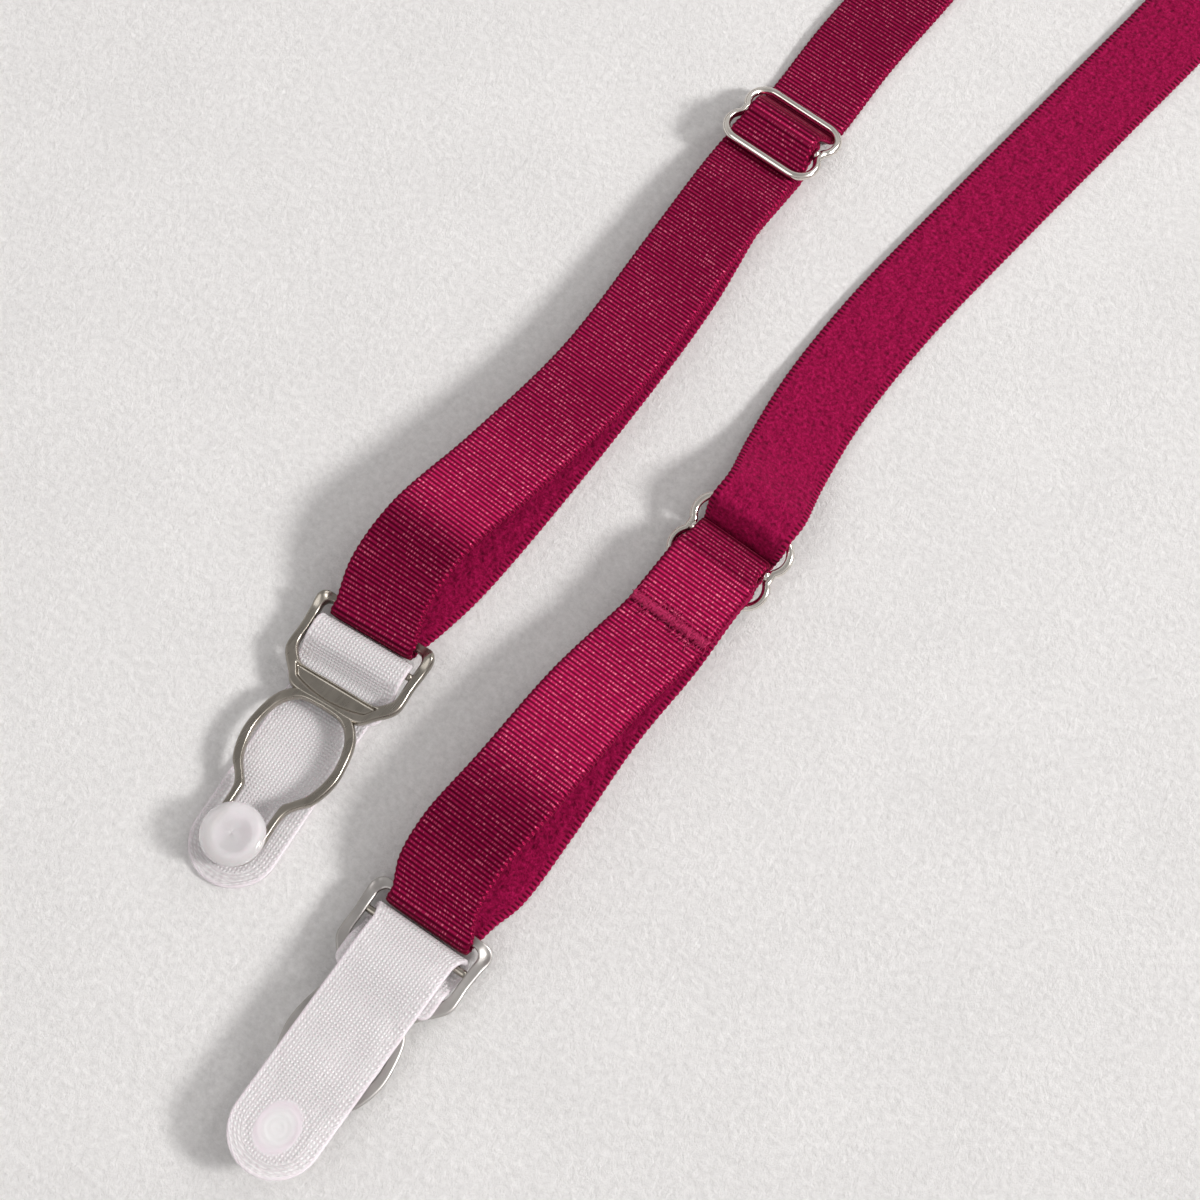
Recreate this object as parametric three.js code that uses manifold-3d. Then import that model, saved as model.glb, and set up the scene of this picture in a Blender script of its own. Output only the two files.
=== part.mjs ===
// A pair of stocking suspenders: two elastic straps, each with a wire slider and a
// keyhole clip that a rubber button tab locks into. Millimetres, +Z up, +Y towards
// the garment. The left strap lies face up. The right strap lies turned over.
import * as THREE from 'three';
import { mergeVertices } from 'three/addons/utils/BufferGeometryUtils.js';
import Module from 'manifold-3d';

const wasm = await Module();
wasm.setup();

// ---- driving dimensions ----
const gap = 0.2;                 // air between neighbouring pieces
const cutGap = 0.3;              // between two stretches of the same webbing

const webWidth = 12.0;
const webThick = 0.9;

const wireRadius = 0.55;         // slider wire
const barSpacing = 5.1;          // slider's middle bar to each outer bar
const sliderMargin = 1.5;        // the slider reaches past each edge of the webbing
const sliderCorner = 1.9;
const sliderWaist = 0.25;        // how far the sides dip in at the middle bar

const frameThick = 1.2;
const topBarWidth = 1.2;
const windowMargin = 1.3;        // clear width beside the webbing on the top bar
const cornerFlare = 1.1;         // frame's lower corners, past the top bar's clear width
const armWidth = 1.3;
const midBarDrop = 3.8;          // top bar to the bar that the tab is folded round
const midBarWidth = 1.0;
const lowerWindow = 5.35;        // middle bar to the plate's upper edge
const plateDepth = 3.15;         // plate's upper edge to the neck under it
const plateRecess = 0.55;
const neckHalf = 4.85;
const ovalHalf = 5.55;           // half the keyhole's clear width
const ovalReach = 6.6;           // oval's upper end to its widest place
const kinkReach = 6.2;           // oval's widest place to where the slot starts
const slotLength = 6.2;          // slot's start to the locked button's middle
const slotRim = 1.1;             // metal beside the slot

const stemRadius = 2.3;
const headRadius = 4.05;
const headThick = 1.6;

const tabThick = 0.65;
const tabHalf = 5.8;
const tabEndReach = 6.0;         // button's middle to the tab's round end
const tailHalf = 6.4;
const tailTuck = 2.25;           // how far the folded tail reaches under the plate

const hemLength = 9.0;
const tackWidth = 1.4;
const tackThick = 0.35;
const sewnTail = 6.9;            // slider's outer bar to the raw end's bar tack
const wrapFlat = 2.0;            // how far the round wrap runs on before it lies flat
const wrapEase = 0.8;

// ---- where the two straps lie ----
const garmentY = 132;
const left = {
  name: 'left', up: 1, yaw: THREE.MathUtils.degToRad(6),
  sliderX: -20.7, sliderY: 67.4, clipX: -19.4, clipY: -20.1, buttonUp: 0,
};
const right = {
  name: 'right', up: -1, yaw: THREE.MathUtils.degToRad(3),
  sliderX: 9.6, sliderY: 14.4, clipX: 9.3, clipY: -44.5, buttonUp: 1.2,
};

// ---- sizes that follow from the ones above ----
const half = webThick / 2;
const sliderWidth = webWidth + 2 * sliderMargin;
const windowHalf = webWidth / 2 + windowMargin;
const cornerHalf = windowHalf + cornerFlare;
const plateTop = midBarDrop + lowerWindow;             // drops are measured from the top bar
const neckDrop = plateTop + plateDepth;
const ovalTop = neckDrop + 0.5;
const ovalDrop = ovalTop + ovalReach;
const kinkDrop = ovalDrop + kinkReach;
const buttonDrop = kinkDrop + slotLength;
const tailEnd = plateTop + tailTuck;
const slotHalf = stemRadius + 0.3;
const foldRadius = topBarWidth / 2 + 0.45 + half;      // webbing's middle round the top bar
const wrapRadius = wireRadius + gap + half;            // webbing's middle round a slider bar
const passRadius = wrapRadius + 0.15;                  // webbing's middle past an outer bar
const layerStep = webThick + gap / 2;                  // one layer on the next
const overWrap = wrapRadius + layerStep + gap / 2;     // a second layer round the middle bar
const frameBase = 2 * tabThick + 1.5 * gap;            // frame's back face over the tab's back
const barHeight = frameBase + frameThick / 2;
const headBase = frameBase + frameThick + gap;
const clipHeight = headBase + headThick;
const hemRadius = half + gap / 4;
const sewnReach = barSpacing + sewnTail;
const sewnHeight = half + tackThick + gap / 4;         // raw end over its bar tack
const overSewn = sewnHeight + layerStep + webThick + gap + 0.05;

// ---- materials ----
const satin = { color: 0xa3164f, roughness: 0.55, metalness: 0.0 };
const plush = { color: 0x8f1040, roughness: 0.9, metalness: 0.0 };
const thread = { color: 0xa81a55, roughness: 0.7, metalness: 0.0 };
const nickel = { color: 0xb9b4ac, roughness: 0.25, metalness: 1.0 };
const rubber = { color: 0xe9dde6, roughness: 0.4, metalness: 0.0 };

function piece(name, geometry, finish) {
  const mesh = new THREE.Mesh(geometry, new THREE.MeshStandardMaterial(finish));
  mesh.name = name;
  return mesh;
}

// ---- joining and cutting ----
function toManifold(geometry) {
  const plain = geometry.clone();
  plain.deleteAttribute('normal');
  plain.deleteAttribute('uv');
  const merged = mergeVertices(plain, 1e-4);
  const mesh = new wasm.Mesh({
    numProp: 3,
    vertProperties: new Float32Array(merged.attributes.position.array),
    triVerts: new Uint32Array(merged.index.array),
  });
  return new wasm.Manifold(mesh);
}

function toGeometry(solid) {
  const mesh = solid.getMesh();
  const geometry = new THREE.BufferGeometry();
  const places = new THREE.BufferAttribute(new Float32Array(mesh.vertProperties), 3);
  geometry.setAttribute('position', places);
  geometry.setIndex(new THREE.BufferAttribute(new Uint32Array(mesh.triVerts), 1));
  geometry.computeVertexNormals();
  return geometry;
}

function joined(...geometries) {
  return toGeometry(geometries.map(toManifold).reduce((all, next) => all.add(next)));
}

function cut(geometry, tool) {
  return toGeometry(toManifold(geometry).subtract(toManifold(tool)));
}

// ---- webbing seen from the side ----
// A stop is a round post that the webbing's middle line passes at a signed radius.
// The radius is positive with the post on the left of the travel, negative with the
// post on the right, and zero for a plain point. x is the middle line's place across.
// Between stops the line is the common tangent, and round a stop it is an arc.
function routeAngle(from, to) {
  const dy = to.y - from.y;
  const dz = to.z - from.z;
  const share = (from.r - to.r) / Math.hypot(dy, dz);
  return Math.atan2(dz, dy) - Math.acos(THREE.MathUtils.clamp(share, -1, 1));
}

function turnBetween(angleIn, angleOut, r) {
  const full = 2 * Math.PI;
  let turn = THREE.MathUtils.euclideanModulo(angleOut - angleIn + Math.PI, full) - Math.PI;
  if (r > 0 && turn < -1) turn += full;
  if (r < 0 && turn > 1) turn -= full;
  return turn;
}

function routePoints(stops) {
  const points = [];
  stops.forEach((stop, i) => {
    const before = i > 0 ? routeAngle(stops[i - 1], stop) : null;
    const after = i < stops.length - 1 ? routeAngle(stop, stops[i + 1]) : null;
    const angleIn = before ?? after;
    const turn = stop.r === 0 ? 0 : turnBetween(angleIn, after ?? before, stop.r);
    const count = Math.ceil(Math.abs(turn) / 0.4);
    for (let k = 0; k <= count; k++) {
      const angle = angleIn + turn * (count ? k / count : 0);
      const y = stop.y + stop.r * Math.cos(angle);
      const z = stop.z + stop.r * Math.sin(angle);
      points.push({ place: new THREE.Vector3(stop.x, y, z), skew: stop.skew ?? 0 });
    }
    points[points.length - 1].cut = stop.cut;
  });
  return points;
}

// The stretch of webbing between two named cuts, as a box bent along the line. skew
// turns the line across, so that a fold lies square to a turned bar. lift moves the
// stretch off the middle line, for stitching that lies on a face.
function band(points, from, to, width, thickness, lift = 0) {
  const curve = new THREE.CatmullRomCurve3(points.map((p) => p.place), false, 'centripetal');
  const last = points.length - 1;
  const first = from ? points.findIndex((p) => p.cut === from) : 0;
  const final = to ? points.findIndex((p) => p.cut === to) : last;
  const length = (i) => points[i].place.distanceTo(points[i + 1].place);
  const start = first + (from ? cutGap / 2 / length(first) : 0);
  const end = final - (to ? cutGap / 2 / length(final - 1) : 0);
  const marks = [start];
  for (let i = first; i < final; i++) {
    const parts = Math.max(1, Math.round(length(i) / 2.4));
    for (let k = 1; k <= parts; k++) marks.push(i + k / parts);
  }
  marks[marks.length - 1] = end;
  const steps = marks.length - 1;
  const box = new THREE.BoxGeometry(width, steps, thickness, 1, steps, 1);
  const position = box.attributes.position;
  for (let v = 0; v < position.count; v++) {
    const mark = marks[Math.round(position.getY(v) + steps / 2)];
    const at = curve.getPoint(mark / last);
    const way = curve.getTangent(mark / last).setX(0).normalize();
    const low = Math.min(Math.floor(mark), last - 1);
    const skew = THREE.MathUtils.lerp(points[low].skew, points[low + 1].skew, mark - low);
    const side = -position.getX(v);
    const out = position.getZ(v) + lift;
    position.setXYZ(v, at.x + side, at.y + way.z * out + side * skew, at.z - way.y * out);
  }
  box.computeVertexNormals();
  return box;
}

// ---- the two straps' lines, from the hem at the garment to the raw end ----
const point = (x, y, z, cut) => ({ x, y, z, r: 0, cut });

function hemStops(x) {
  return [
    point(x, garmentY - hemLength, half + 2 * hemRadius),
    point(x, garmentY - hemLength / 2, half + 2 * hemRadius),
    { x, y: garmentY - half - hemRadius, z: half + hemRadius, r: -hemRadius },
    point(x, garmentY - hemLength / 2, half, 'hem'),
  ];
}

function slider(strap) {
  const { sliderX: x, sliderY: y, up } = strap;
  const lower = up > 0 ? half + 2 * layerStep + passRadius : wireRadius + 1.0;
  const upper = up > 0 ? half + passRadius : 2 * (half + overWrap) - lower;
  const middle = (lower + upper) / 2;
  const tilt = Math.asin((upper - lower) / 2 / barSpacing);
  return { x, y, lower, upper, middle, tilt, reach: barSpacing * Math.cos(tilt) };
}

function throughSlider(strap) {
  const { x, y, lower, upper, middle, reach } = slider(strap);
  const sign = strap.up;
  return [
    point(x, y + reach + 2.5, upper - sign * passRadius, 'lead'),
    { x, y: y + reach, z: upper, r: -sign * passRadius },
    { x, y, z: middle, r: sign * overWrap },
    { x, y: y - reach, z: lower, r: -sign * passRadius },
    point(x, y - reach - 2.5, lower - sign * passRadius, 'weave'),
  ];
}

function sewnEnd(strap, height) {
  const { x, y, lower, middle } = slider(strap);
  const layer = lower - strap.up * (passRadius + layerStep);
  return [
    point(x, y - sewnReach - tackWidth, height, 'loop'),
    point(x, y - sewnReach, height, 'tack'),
    point(x, y - barSpacing, layer - strap.up * layerStep),
    point(x, y - wrapRadius - wrapFlat, layer - strap.up * layerStep),
    { x, y, z: middle, r: strap.up * wrapRadius },
    point(x, y - wrapRadius - wrapFlat - wrapEase, layer),
    point(x, y - barSpacing - wrapEase, layer),
    point(x, y - sewnReach, height + strap.up * layerStep),
  ];
}

function leftLine() {
  const { clipX: x, clipY: y, sliderY, yaw } = left;
  const along = (share) => y + share * (sliderY - y);
  const skew = Math.tan(yaw);
  const foldTop = barHeight + foldRadius;
  const foldFoot = barHeight - foldRadius;
  return [
    ...hemStops(-20.6),
    point(-20.8, sliderY + 32, half + 0.2),
    point(-21.1, sliderY + 18, half + 0.2),
    ...throughSlider(left),
    point(-20.4, sliderY - sewnReach, overSewn),
    point(-19.4, along(0.72), overSewn + 0.8),
    point(-18.1, along(0.5), 4.9),
    point(-19.3, along(0.3), 6.4),
    point(-21.2, along(0.14), 6.9),
    { ...point(-21.0, along(0.05), foldTop + 1.4, 'first'), skew: skew / 2 },
    { x, y, z: barHeight, r: foldRadius, skew },
    { ...point(-18.6, along(0.05), foldFoot, 'fold'), skew: skew / 2 },
    point(-17.8, along(0.14), half),
    point(-17.8, along(0.45), half),
    point(-18.9, along(0.7), half),
    ...sewnEnd(left, sewnHeight),
  ];
}

function rightLine() {
  const { clipX: x, clipY: y, sliderY, yaw } = right;
  const along = (share) => y + share * (sliderY - y);
  const skew = Math.tan(yaw);
  const bar = clipHeight - barHeight;
  return [
    ...hemStops(13.0),
    point(12.1, sliderY + 101, half),
    point(10.2, sliderY + 82, half),
    point(8.0, sliderY + 60, half),
    point(6.3, sliderY + 40, half),
    point(6.4, sliderY + 25, half + 0.4),
    point(8.0, sliderY + 14, half + 1.9),
    ...throughSlider(right),
    point(9.6, along(0.75), half + 0.3),
    point(9.3, along(0.55), half),
    point(10.3, along(0.3), half),
    point(10.6, along(0.13), half + 0.1),
    { ...point(9.7, along(0.055), bar - foldRadius, 'first'), skew: skew / 2 },
    { x, y, z: bar, r: -foldRadius, skew },
    { ...point(7.7, along(0.05), bar + foldRadius + 0.8, 'fold'), skew: skew / 2 },
    point(7.1, along(0.14), 5.9),
    point(7.7, along(0.3), 6.7),
    point(8.1, along(0.55), 6.0),
    ...sewnEnd(right, 4.9),
  ];
}

function strapPieces(strap, line) {
  const points = routePoints(line);
  const [first, second] = strap.up > 0 ? ['upper', 'lower'] : ['lower', 'upper'];
  const onFace = half + gap / 4 + tackThick / 2;
  const web = (from, to) => band(points, from, to, webWidth, webThick);
  const barTack = band(points, 'loop', 'tack', webWidth - 0.6, tackThick, strap.up * onFace);
  const label = (name) => `${strap.name}_${name}`;
  const hemTack = [points[0], points[1]].map((p) => p.place.clone());
  const tackBox = new THREE.BoxGeometry(webWidth - 1, tackWidth, tackThick);
  const hemTop = half + 2 * hemRadius + onFace;
  tackBox.translate(hemTack[0].x, garmentY - hemLength + tackWidth, hemTop);
  return [
    piece(label('top_hem'), web(null, 'hem'), satin),
    piece(label('hem_tack'), tackBox, thread),
    piece(label('strap_lead'), web('hem', 'lead'), strap.up > 0 ? satin : plush),
    piece(label('slider_weave'), web('lead', 'weave'), satin),
    piece(label(`loop_${first}`), web('weave', 'first'), satin),
    piece(label('loop_fold'), web('first', 'fold'), satin),
    piece(label(`loop_${second}`), web('fold', 'loop'), satin),
    piece(label('sewn_end'), web('loop', null), satin),
    piece(label('bar_tack'), barTack, thread),
  ];
}

// ---- wire slider ----
function wireTube(curve, steps) {
  const section = new THREE.Shape().absarc(0, 0, wireRadius, 0, 2 * Math.PI);
  return new THREE.ExtrudeGeometry(section, { steps, curveSegments: 5, extrudePath: curve });
}

// Each side of the wire turns two round corners and dips a little at the middle bar.
function sliderSide(sign) {
  const side = sliderWidth / 2 - wireRadius;
  const overlap = 0.6;
  const cornerSteps = 4;
  const points = [];
  const add = (x, y) => points.push(new THREE.Vector3(sign * x, y, 0));
  const addCorner = (end, from, to) => {
    for (let k = 0; k <= cornerSteps; k++) {
      const angle = THREE.MathUtils.lerp(from, to, k / cornerSteps);
      const x = side - sliderCorner * (1 - Math.cos(angle));
      add(x, end * (barSpacing - sliderCorner) + sliderCorner * Math.sin(angle));
    }
  };
  add(-overlap, barSpacing);
  addCorner(1, Math.PI / 2, 0);
  add(side - sliderWaist, 0);
  addCorner(-1, 0, -Math.PI / 2);
  add(-overlap, -barSpacing);
  return wireTube(new THREE.CatmullRomCurve3(points, false, 'centripetal'), 44);
}

function sliderPiece(strap) {
  const { x, y, middle, tilt } = slider(strap);
  const waist = sliderWidth / 2 - wireRadius - sliderWaist;
  const ends = [new THREE.Vector3(-waist, 0, 0), new THREE.Vector3(waist, 0, 0)];
  const bar = wireTube(new THREE.LineCurve3(...ends), 1);
  const mesh = piece(`${strap.name}_slider`, joined(sliderSide(1), sliderSide(-1), bar), nickel);
  mesh.position.set(x, y, middle);
  mesh.rotation.x = tilt;
  return mesh;
}

// ---- clip: x across, -Y down towards the button, +Z out of the front ----
const down = (x, drop) => new THREE.Vector2(x, -drop);

function mirrored(points) {
  return points.map((p) => new THREE.Vector2(-p.x, p.y)).reverse();
}

function frameOutline() {
  const top = topBarWidth / 2;
  const curl = windowHalf + armWidth;
  const slotOut = slotHalf + slotRim;
  const side = [
    down(curl - 2.4, -top), down(curl - 0.9, -top + 0.45), down(curl + 0.2, 1.4),
    down(curl - 0.1, midBarDrop - 0.5), down(cornerHalf - 0.2, plateTop - 3.55),
    down(cornerHalf, plateTop - 1.55), down(cornerHalf - 0.35, plateTop - 0.25),
    down(neckHalf + 1.25, plateTop + 1.55), down(neckHalf, neckDrop), down(ovalHalf + 0.35, ovalTop + 2.0),
    down(ovalHalf + armWidth, ovalDrop - 1.2), down(ovalHalf + armWidth, ovalDrop + 1.4),
    down(ovalHalf + 0.15, kinkDrop - 1.7), down(slotOut + 0.35, kinkDrop + 0.2),
    down(slotOut, kinkDrop + 1.6),
  ];
  const shape = new THREE.Shape();
  shape.moveTo(0, top);
  shape.lineTo(side[0].x, side[0].y);
  shape.splineThru(side.slice(1));
  shape.lineTo(slotOut, -buttonDrop);
  shape.absarc(0, -buttonDrop, slotOut, 0, -Math.PI, true);
  const back = mirrored(side);
  shape.lineTo(back[0].x, back[0].y);
  shape.splineThru(back.slice(1));
  shape.closePath();
  return shape;
}

function windowHole() {
  const barEdge = topBarWidth / 2;
  const barTop = midBarDrop - midBarWidth / 2;
  const hole = new THREE.Path();
  hole.moveTo(-windowHalf + 0.9, -barEdge);
  hole.splineThru([down(-windowHalf + 0.1, barEdge + 0.7), down(-windowHalf + 0.1, barTop)]);
  hole.lineTo(windowHalf - 0.1, -barTop);
  hole.splineThru([down(windowHalf - 0.1, barEdge + 0.7), down(windowHalf - 0.9, barEdge)]);
  hole.closePath();
  return hole;
}

function lowerWindowHole() {
  const barFoot = midBarDrop + midBarWidth / 2;
  const side = cornerHalf - armWidth;
  const hole = new THREE.Path();
  hole.moveTo(-side - 0.05, -barFoot);
  hole.lineTo(-side, -plateTop + 1.9);
  hole.lineTo(-side + 1.9, -plateTop);
  hole.lineTo(side - 1.9, -plateTop);
  hole.lineTo(side, -plateTop + 1.9);
  hole.lineTo(side + 0.05, -barFoot);
  hole.closePath();
  return hole;
}

function keyhole() {
  const side = [
    down(2.9, ovalTop + 0.35), down(ovalHalf - 0.95, ovalTop + 1.9), down(ovalHalf, ovalDrop - 1.6),
    down(ovalHalf, ovalDrop + 0.6), down(ovalHalf - 0.85, ovalDrop + 3.6),
    down(slotHalf + 0.9, kinkDrop - 1.0), down(slotHalf + 0.15, kinkDrop),
  ];
  const hole = new THREE.Path();
  hole.moveTo(0, -ovalTop);
  hole.splineThru(side);
  hole.lineTo(slotHalf, -kinkDrop - 0.6);
  hole.lineTo(slotHalf, -buttonDrop);
  hole.absarc(0, -buttonDrop, slotHalf, 0, -Math.PI, true);
  hole.lineTo(-slotHalf, -kinkDrop - 0.6);
  hole.splineThru([...mirrored(side), down(0, ovalTop)]);
  return hole;
}

// The same outline as plain points, without the doubled points where curves meet.
function cleanPoints(path) {
  const points = path.getPoints(4);
  return points.filter((p, i) => p.distanceTo(points[(i + 1) % points.length]) > 0.03);
}

function prism(path, foot, height) {
  const shape = new THREE.Shape(cleanPoints(path));
  const solid = new THREE.ExtrudeGeometry(shape, { depth: height, bevelEnabled: false });
  return solid.translate(0, 0, foot);
}

function clipFrame() {
  const bevel = 0.25;
  const plate = new THREE.ExtrudeGeometry(new THREE.Shape(cleanPoints(frameOutline())), {
    depth: frameThick - 2 * bevel, bevelEnabled: true,
    bevelThickness: bevel, bevelSize: bevel, bevelOffset: -bevel, bevelSegments: 1,
  });
  plate.translate(0, 0, frameBase + bevel);
  const plateHead = neckHalf + 0.85;
  const plateFoot = neckHalf - 1.75;
  const recess = new THREE.Shape([
    down(-plateHead, plateTop - 0.8), down(-plateFoot, neckDrop - 0.45),
    down(plateFoot, neckDrop - 0.45), down(plateHead, plateTop - 0.8),
  ]);
  const holes = [windowHole(), lowerWindowHole(), keyhole()].map((hole) => prism(hole, 0, clipHeight));
  const pocket = prism(recess, frameBase + frameThick - plateRecess, clipHeight);
  return [...holes, pocket].reduce(cut, plate);
}

// The tab runs up behind the frame, round the middle bar to the front, then down
// through the window, and its tail is tucked between the tab and the plate.
const tabCut = midBarDrop + 2.9;
const tongueCut = buttonDrop - 7.4;

function tabFold() {
  const wrap = Math.hypot(midBarWidth, frameThick) / 2 + gap / 2 + tabThick / 2;
  const tail = tabThick + gap / 2 + tabThick / 2;
  const front = barHeight + wrap;
  const points = routePoints([
    point(0, -tabCut + cutGap, tabThick / 2),
    { x: 0, y: -midBarDrop, z: barHeight, r: wrap },
    point(0, -midBarDrop - 1.8, front - 0.3),
    point(0, -midBarDrop - 3.0, front - 1.5),
    point(0, -midBarDrop - 4.0, tail + 0.05),
    point(0, -midBarDrop - 5.2, tail),
    point(0, -tailEnd, tail),
  ]);
  return band(points, null, null, 2 * tailHalf, tabThick);
}

function tongue(buttonUp) {
  const width = 2 * tabHalf;
  const foot = tongueCut - buttonUp;
  const plate = new THREE.BoxGeometry(width, foot - tabCut, tabThick);
  return plate.translate(0, -(foot + tabCut) / 2, tabThick / 2);
}

function tongueEnd() {
  const roundAt = buttonDrop + tabEndReach - tabHalf;
  const shape = new THREE.Shape();
  shape.moveTo(tabHalf, -tongueCut - cutGap);
  shape.lineTo(-tabHalf, -tongueCut - cutGap);
  shape.lineTo(-tabHalf, -roundAt);
  shape.absarc(0, -roundAt, tabHalf, Math.PI, 2 * Math.PI, false);
  shape.closePath();
  return new THREE.ExtrudeGeometry(shape, { depth: tabThick, bevelEnabled: false, curveSegments: 14 });
}

// The button is a stem with a domed head, whose crown is dished in the middle.
function button() {
  const stemFoot = tabThick + gap;
  const rim = headBase + headThick;
  const profile = [
    [0, stemFoot], [stemRadius, stemFoot], [stemRadius, headBase], [headRadius - 0.35, headBase],
    [headRadius, headBase + 0.45], [headRadius - 0.1, headBase + 0.9], [headRadius - 0.75, rim - 0.12],
    [headRadius - 1.5, rim], [headRadius - 2.3, rim - 0.2], [0, rim - 0.4],
  ];
  const lathe = new THREE.LatheGeometry(profile.map(([r, z]) => new THREE.Vector2(r, z)), 28);
  return lathe.rotateX(Math.PI / 2).translate(0, -buttonDrop, 0);
}

function clip(strap) {
  const { name, buttonUp } = strap;
  const group = new THREE.Group();
  group.add(
    piece(`${name}_clip_frame`, clipFrame(), nickel),
    piece(`${name}_tab_fold`, tabFold(), rubber),
    piece(`${name}_tab_tongue`, tongue(buttonUp), rubber),
    piece(`${name}_tab_end`, tongueEnd().translate(0, buttonUp, 0), rubber),
    piece(`${name}_button`, button().translate(0, buttonUp, 0), rubber),
  );
  const turnedOver = strap.up < 0;
  group.rotation.set(0, turnedOver ? Math.PI : 0, strap.yaw, 'ZYX');
  group.position.set(strap.clipX, strap.clipY, turnedOver ? clipHeight : 0);
  return group;
}

// ---- the pair, with its origin under the middle of its box ----
const straps = new THREE.Group();
straps.add(...strapPieces(left, leftLine()), sliderPiece(left), clip(left));
straps.add(...strapPieces(right, rightLine()), sliderPiece(right), clip(right));
straps.updateMatrixWorld(true);
const box = new THREE.Box3().setFromObject(straps, true);
const middle = box.getCenter(new THREE.Vector3());
straps.position.set(-middle.x, -middle.y, -box.min.z);

const pair = new THREE.Group();
pair.add(straps);
export default pair;
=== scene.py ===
# %% [markdown]
# # A pair of stocking suspenders
#
# Two crimson elastic straps lie side by side. Each one passes a wire slider, goes round
# the top bar of a metal clip, and comes back to end round the slider's middle bar. A
# moulded tab is folded round a bar of the clip, and its button sits in the clip's slot.
# The left strap lies with its satin face up. The right one is turned over.
#
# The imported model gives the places. The shapes could be drawn by hand in Blender, but
# then nothing would follow the sizes. Everything here is worked out in millimetres on
# plain numpy arrays, in the straps' own frame, and put into metres when a mesh is made.

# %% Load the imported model
import math

import bpy
import numpy as np
from mathutils import Matrix, Vector


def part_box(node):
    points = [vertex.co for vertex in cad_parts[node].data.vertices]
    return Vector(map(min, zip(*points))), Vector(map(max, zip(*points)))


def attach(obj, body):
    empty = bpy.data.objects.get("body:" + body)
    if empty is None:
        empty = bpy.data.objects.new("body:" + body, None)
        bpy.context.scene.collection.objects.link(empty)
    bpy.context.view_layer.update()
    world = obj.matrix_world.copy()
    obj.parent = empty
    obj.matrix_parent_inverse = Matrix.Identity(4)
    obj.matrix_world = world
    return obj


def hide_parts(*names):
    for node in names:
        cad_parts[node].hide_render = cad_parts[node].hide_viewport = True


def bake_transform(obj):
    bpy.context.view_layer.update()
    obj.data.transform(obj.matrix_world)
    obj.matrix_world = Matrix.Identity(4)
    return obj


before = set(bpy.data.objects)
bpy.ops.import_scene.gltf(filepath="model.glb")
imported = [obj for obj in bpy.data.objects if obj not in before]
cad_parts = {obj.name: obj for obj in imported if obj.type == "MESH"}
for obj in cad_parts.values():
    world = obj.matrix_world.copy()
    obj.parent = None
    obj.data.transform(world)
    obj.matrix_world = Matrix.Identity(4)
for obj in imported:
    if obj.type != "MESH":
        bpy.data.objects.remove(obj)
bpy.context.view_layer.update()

# %% [markdown]
# ## Shared sizes
#
# These are the sizes that the solids were made with, so that every visible piece covers
# its solid. The straps' own frame has +Y along the straps towards the garment. A box of
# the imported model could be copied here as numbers, but it is safer to measure: the left
# slider's box says how far the straps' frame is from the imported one.

# %% Sizes in millimetres
MM = 0.001
gap = 0.2
web_width, web_thick = 12.0, 0.9
half = web_thick / 2
wire_radius, bar_spacing, slider_width = 0.55, 5.1, 15.0
frame_thick, top_bar, arm = 1.2, 1.2, 1.3
mid_bar_drop, mid_bar_width = 3.8, 1.0
plate_top, plate_drop = 9.15, 0.6
oval_top, oval_half, oval_drop = 12.8, 5.55, 19.4
kink_drop, slot_rim = 25.6, 1.1
stem_radius, head_radius, head_thick = 2.3, 4.05, 1.6
button_drop = 31.8
tab_thick, tab_half, tab_end_reach = 0.65, 5.8, 6.0
tail_half, tail_end = 6.9, 11.4
hem_length, tack_width, tack_thick = 9.0, 1.4, 0.35
sewn_reach, garment_y = 12.0, 132.0
slot_half = stem_radius + 0.3
fold_radius = top_bar / 2 + 0.45 + half
wrap_radius = wire_radius + gap + half
pass_radius = wrap_radius + 0.15
layer_step = web_thick + gap / 2
over_wrap = wrap_radius + layer_step + gap / 2
frame_base = 2 * tab_thick + 1.5 * gap
bar_height = frame_base + frame_thick / 2
head_base = frame_base + frame_thick + gap
clip_height = head_base + head_thick
hem_radius = half + gap / 4

# A strap's up is 1 with the satin face up and -1 when it is turned over. Its hem is the
# hem's place across, its sewn the height of the sewn layer, and its button_up how far
# the button has slid up from the end of the slot.
LEFT = dict(name="left", up=1, yaw=math.radians(6), slider=(-20.7, 67.4), clip=(-19.4, -20.1),
            hem=-20.6, sewn=half + tack_thick + gap / 4, button_up=0.0)
RIGHT = dict(name="right", up=-1, yaw=math.radians(3), slider=(9.6, 14.4), clip=(9.3, -44.5),
             hem=13.0, sewn=4.9, button_up=1.2)


def slider_heights(strap):
    """Heights of the slider's lower, upper and middle bar, and its tilt and reach along Y."""
    up = strap["up"]
    lower = half + 2 * layer_step + pass_radius if up > 0 else wire_radius + 1.0
    upper = half + pass_radius if up > 0 else 2 * (half + over_wrap) - lower
    tilt = math.asin((upper - lower) / 2 / bar_spacing)
    return lower, upper, (lower + upper) / 2, tilt, bar_spacing * math.cos(tilt)


box_low, box_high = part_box("left_slider")
slider_middle = (np.array(box_low) + np.array(box_high)) / 2 / MM
SHIFT = slider_middle - np.array([*LEFT["slider"], slider_heights(LEFT)[2]])
print("straps' frame to packed frame, mm:", SHIFT.round(3))

# %% [markdown]
# ## Making a mesh from arrays
#
# Every piece is a set of points and quads. A mesh could be filled one vertex at a time,
# which is slow. One helper instead writes whole arrays with `foreach_set`, and moves them
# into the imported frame. It also stores what the materials read: a UV map in millimetres,
# a second map with distances to an edge, and the material of each face.

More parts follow.
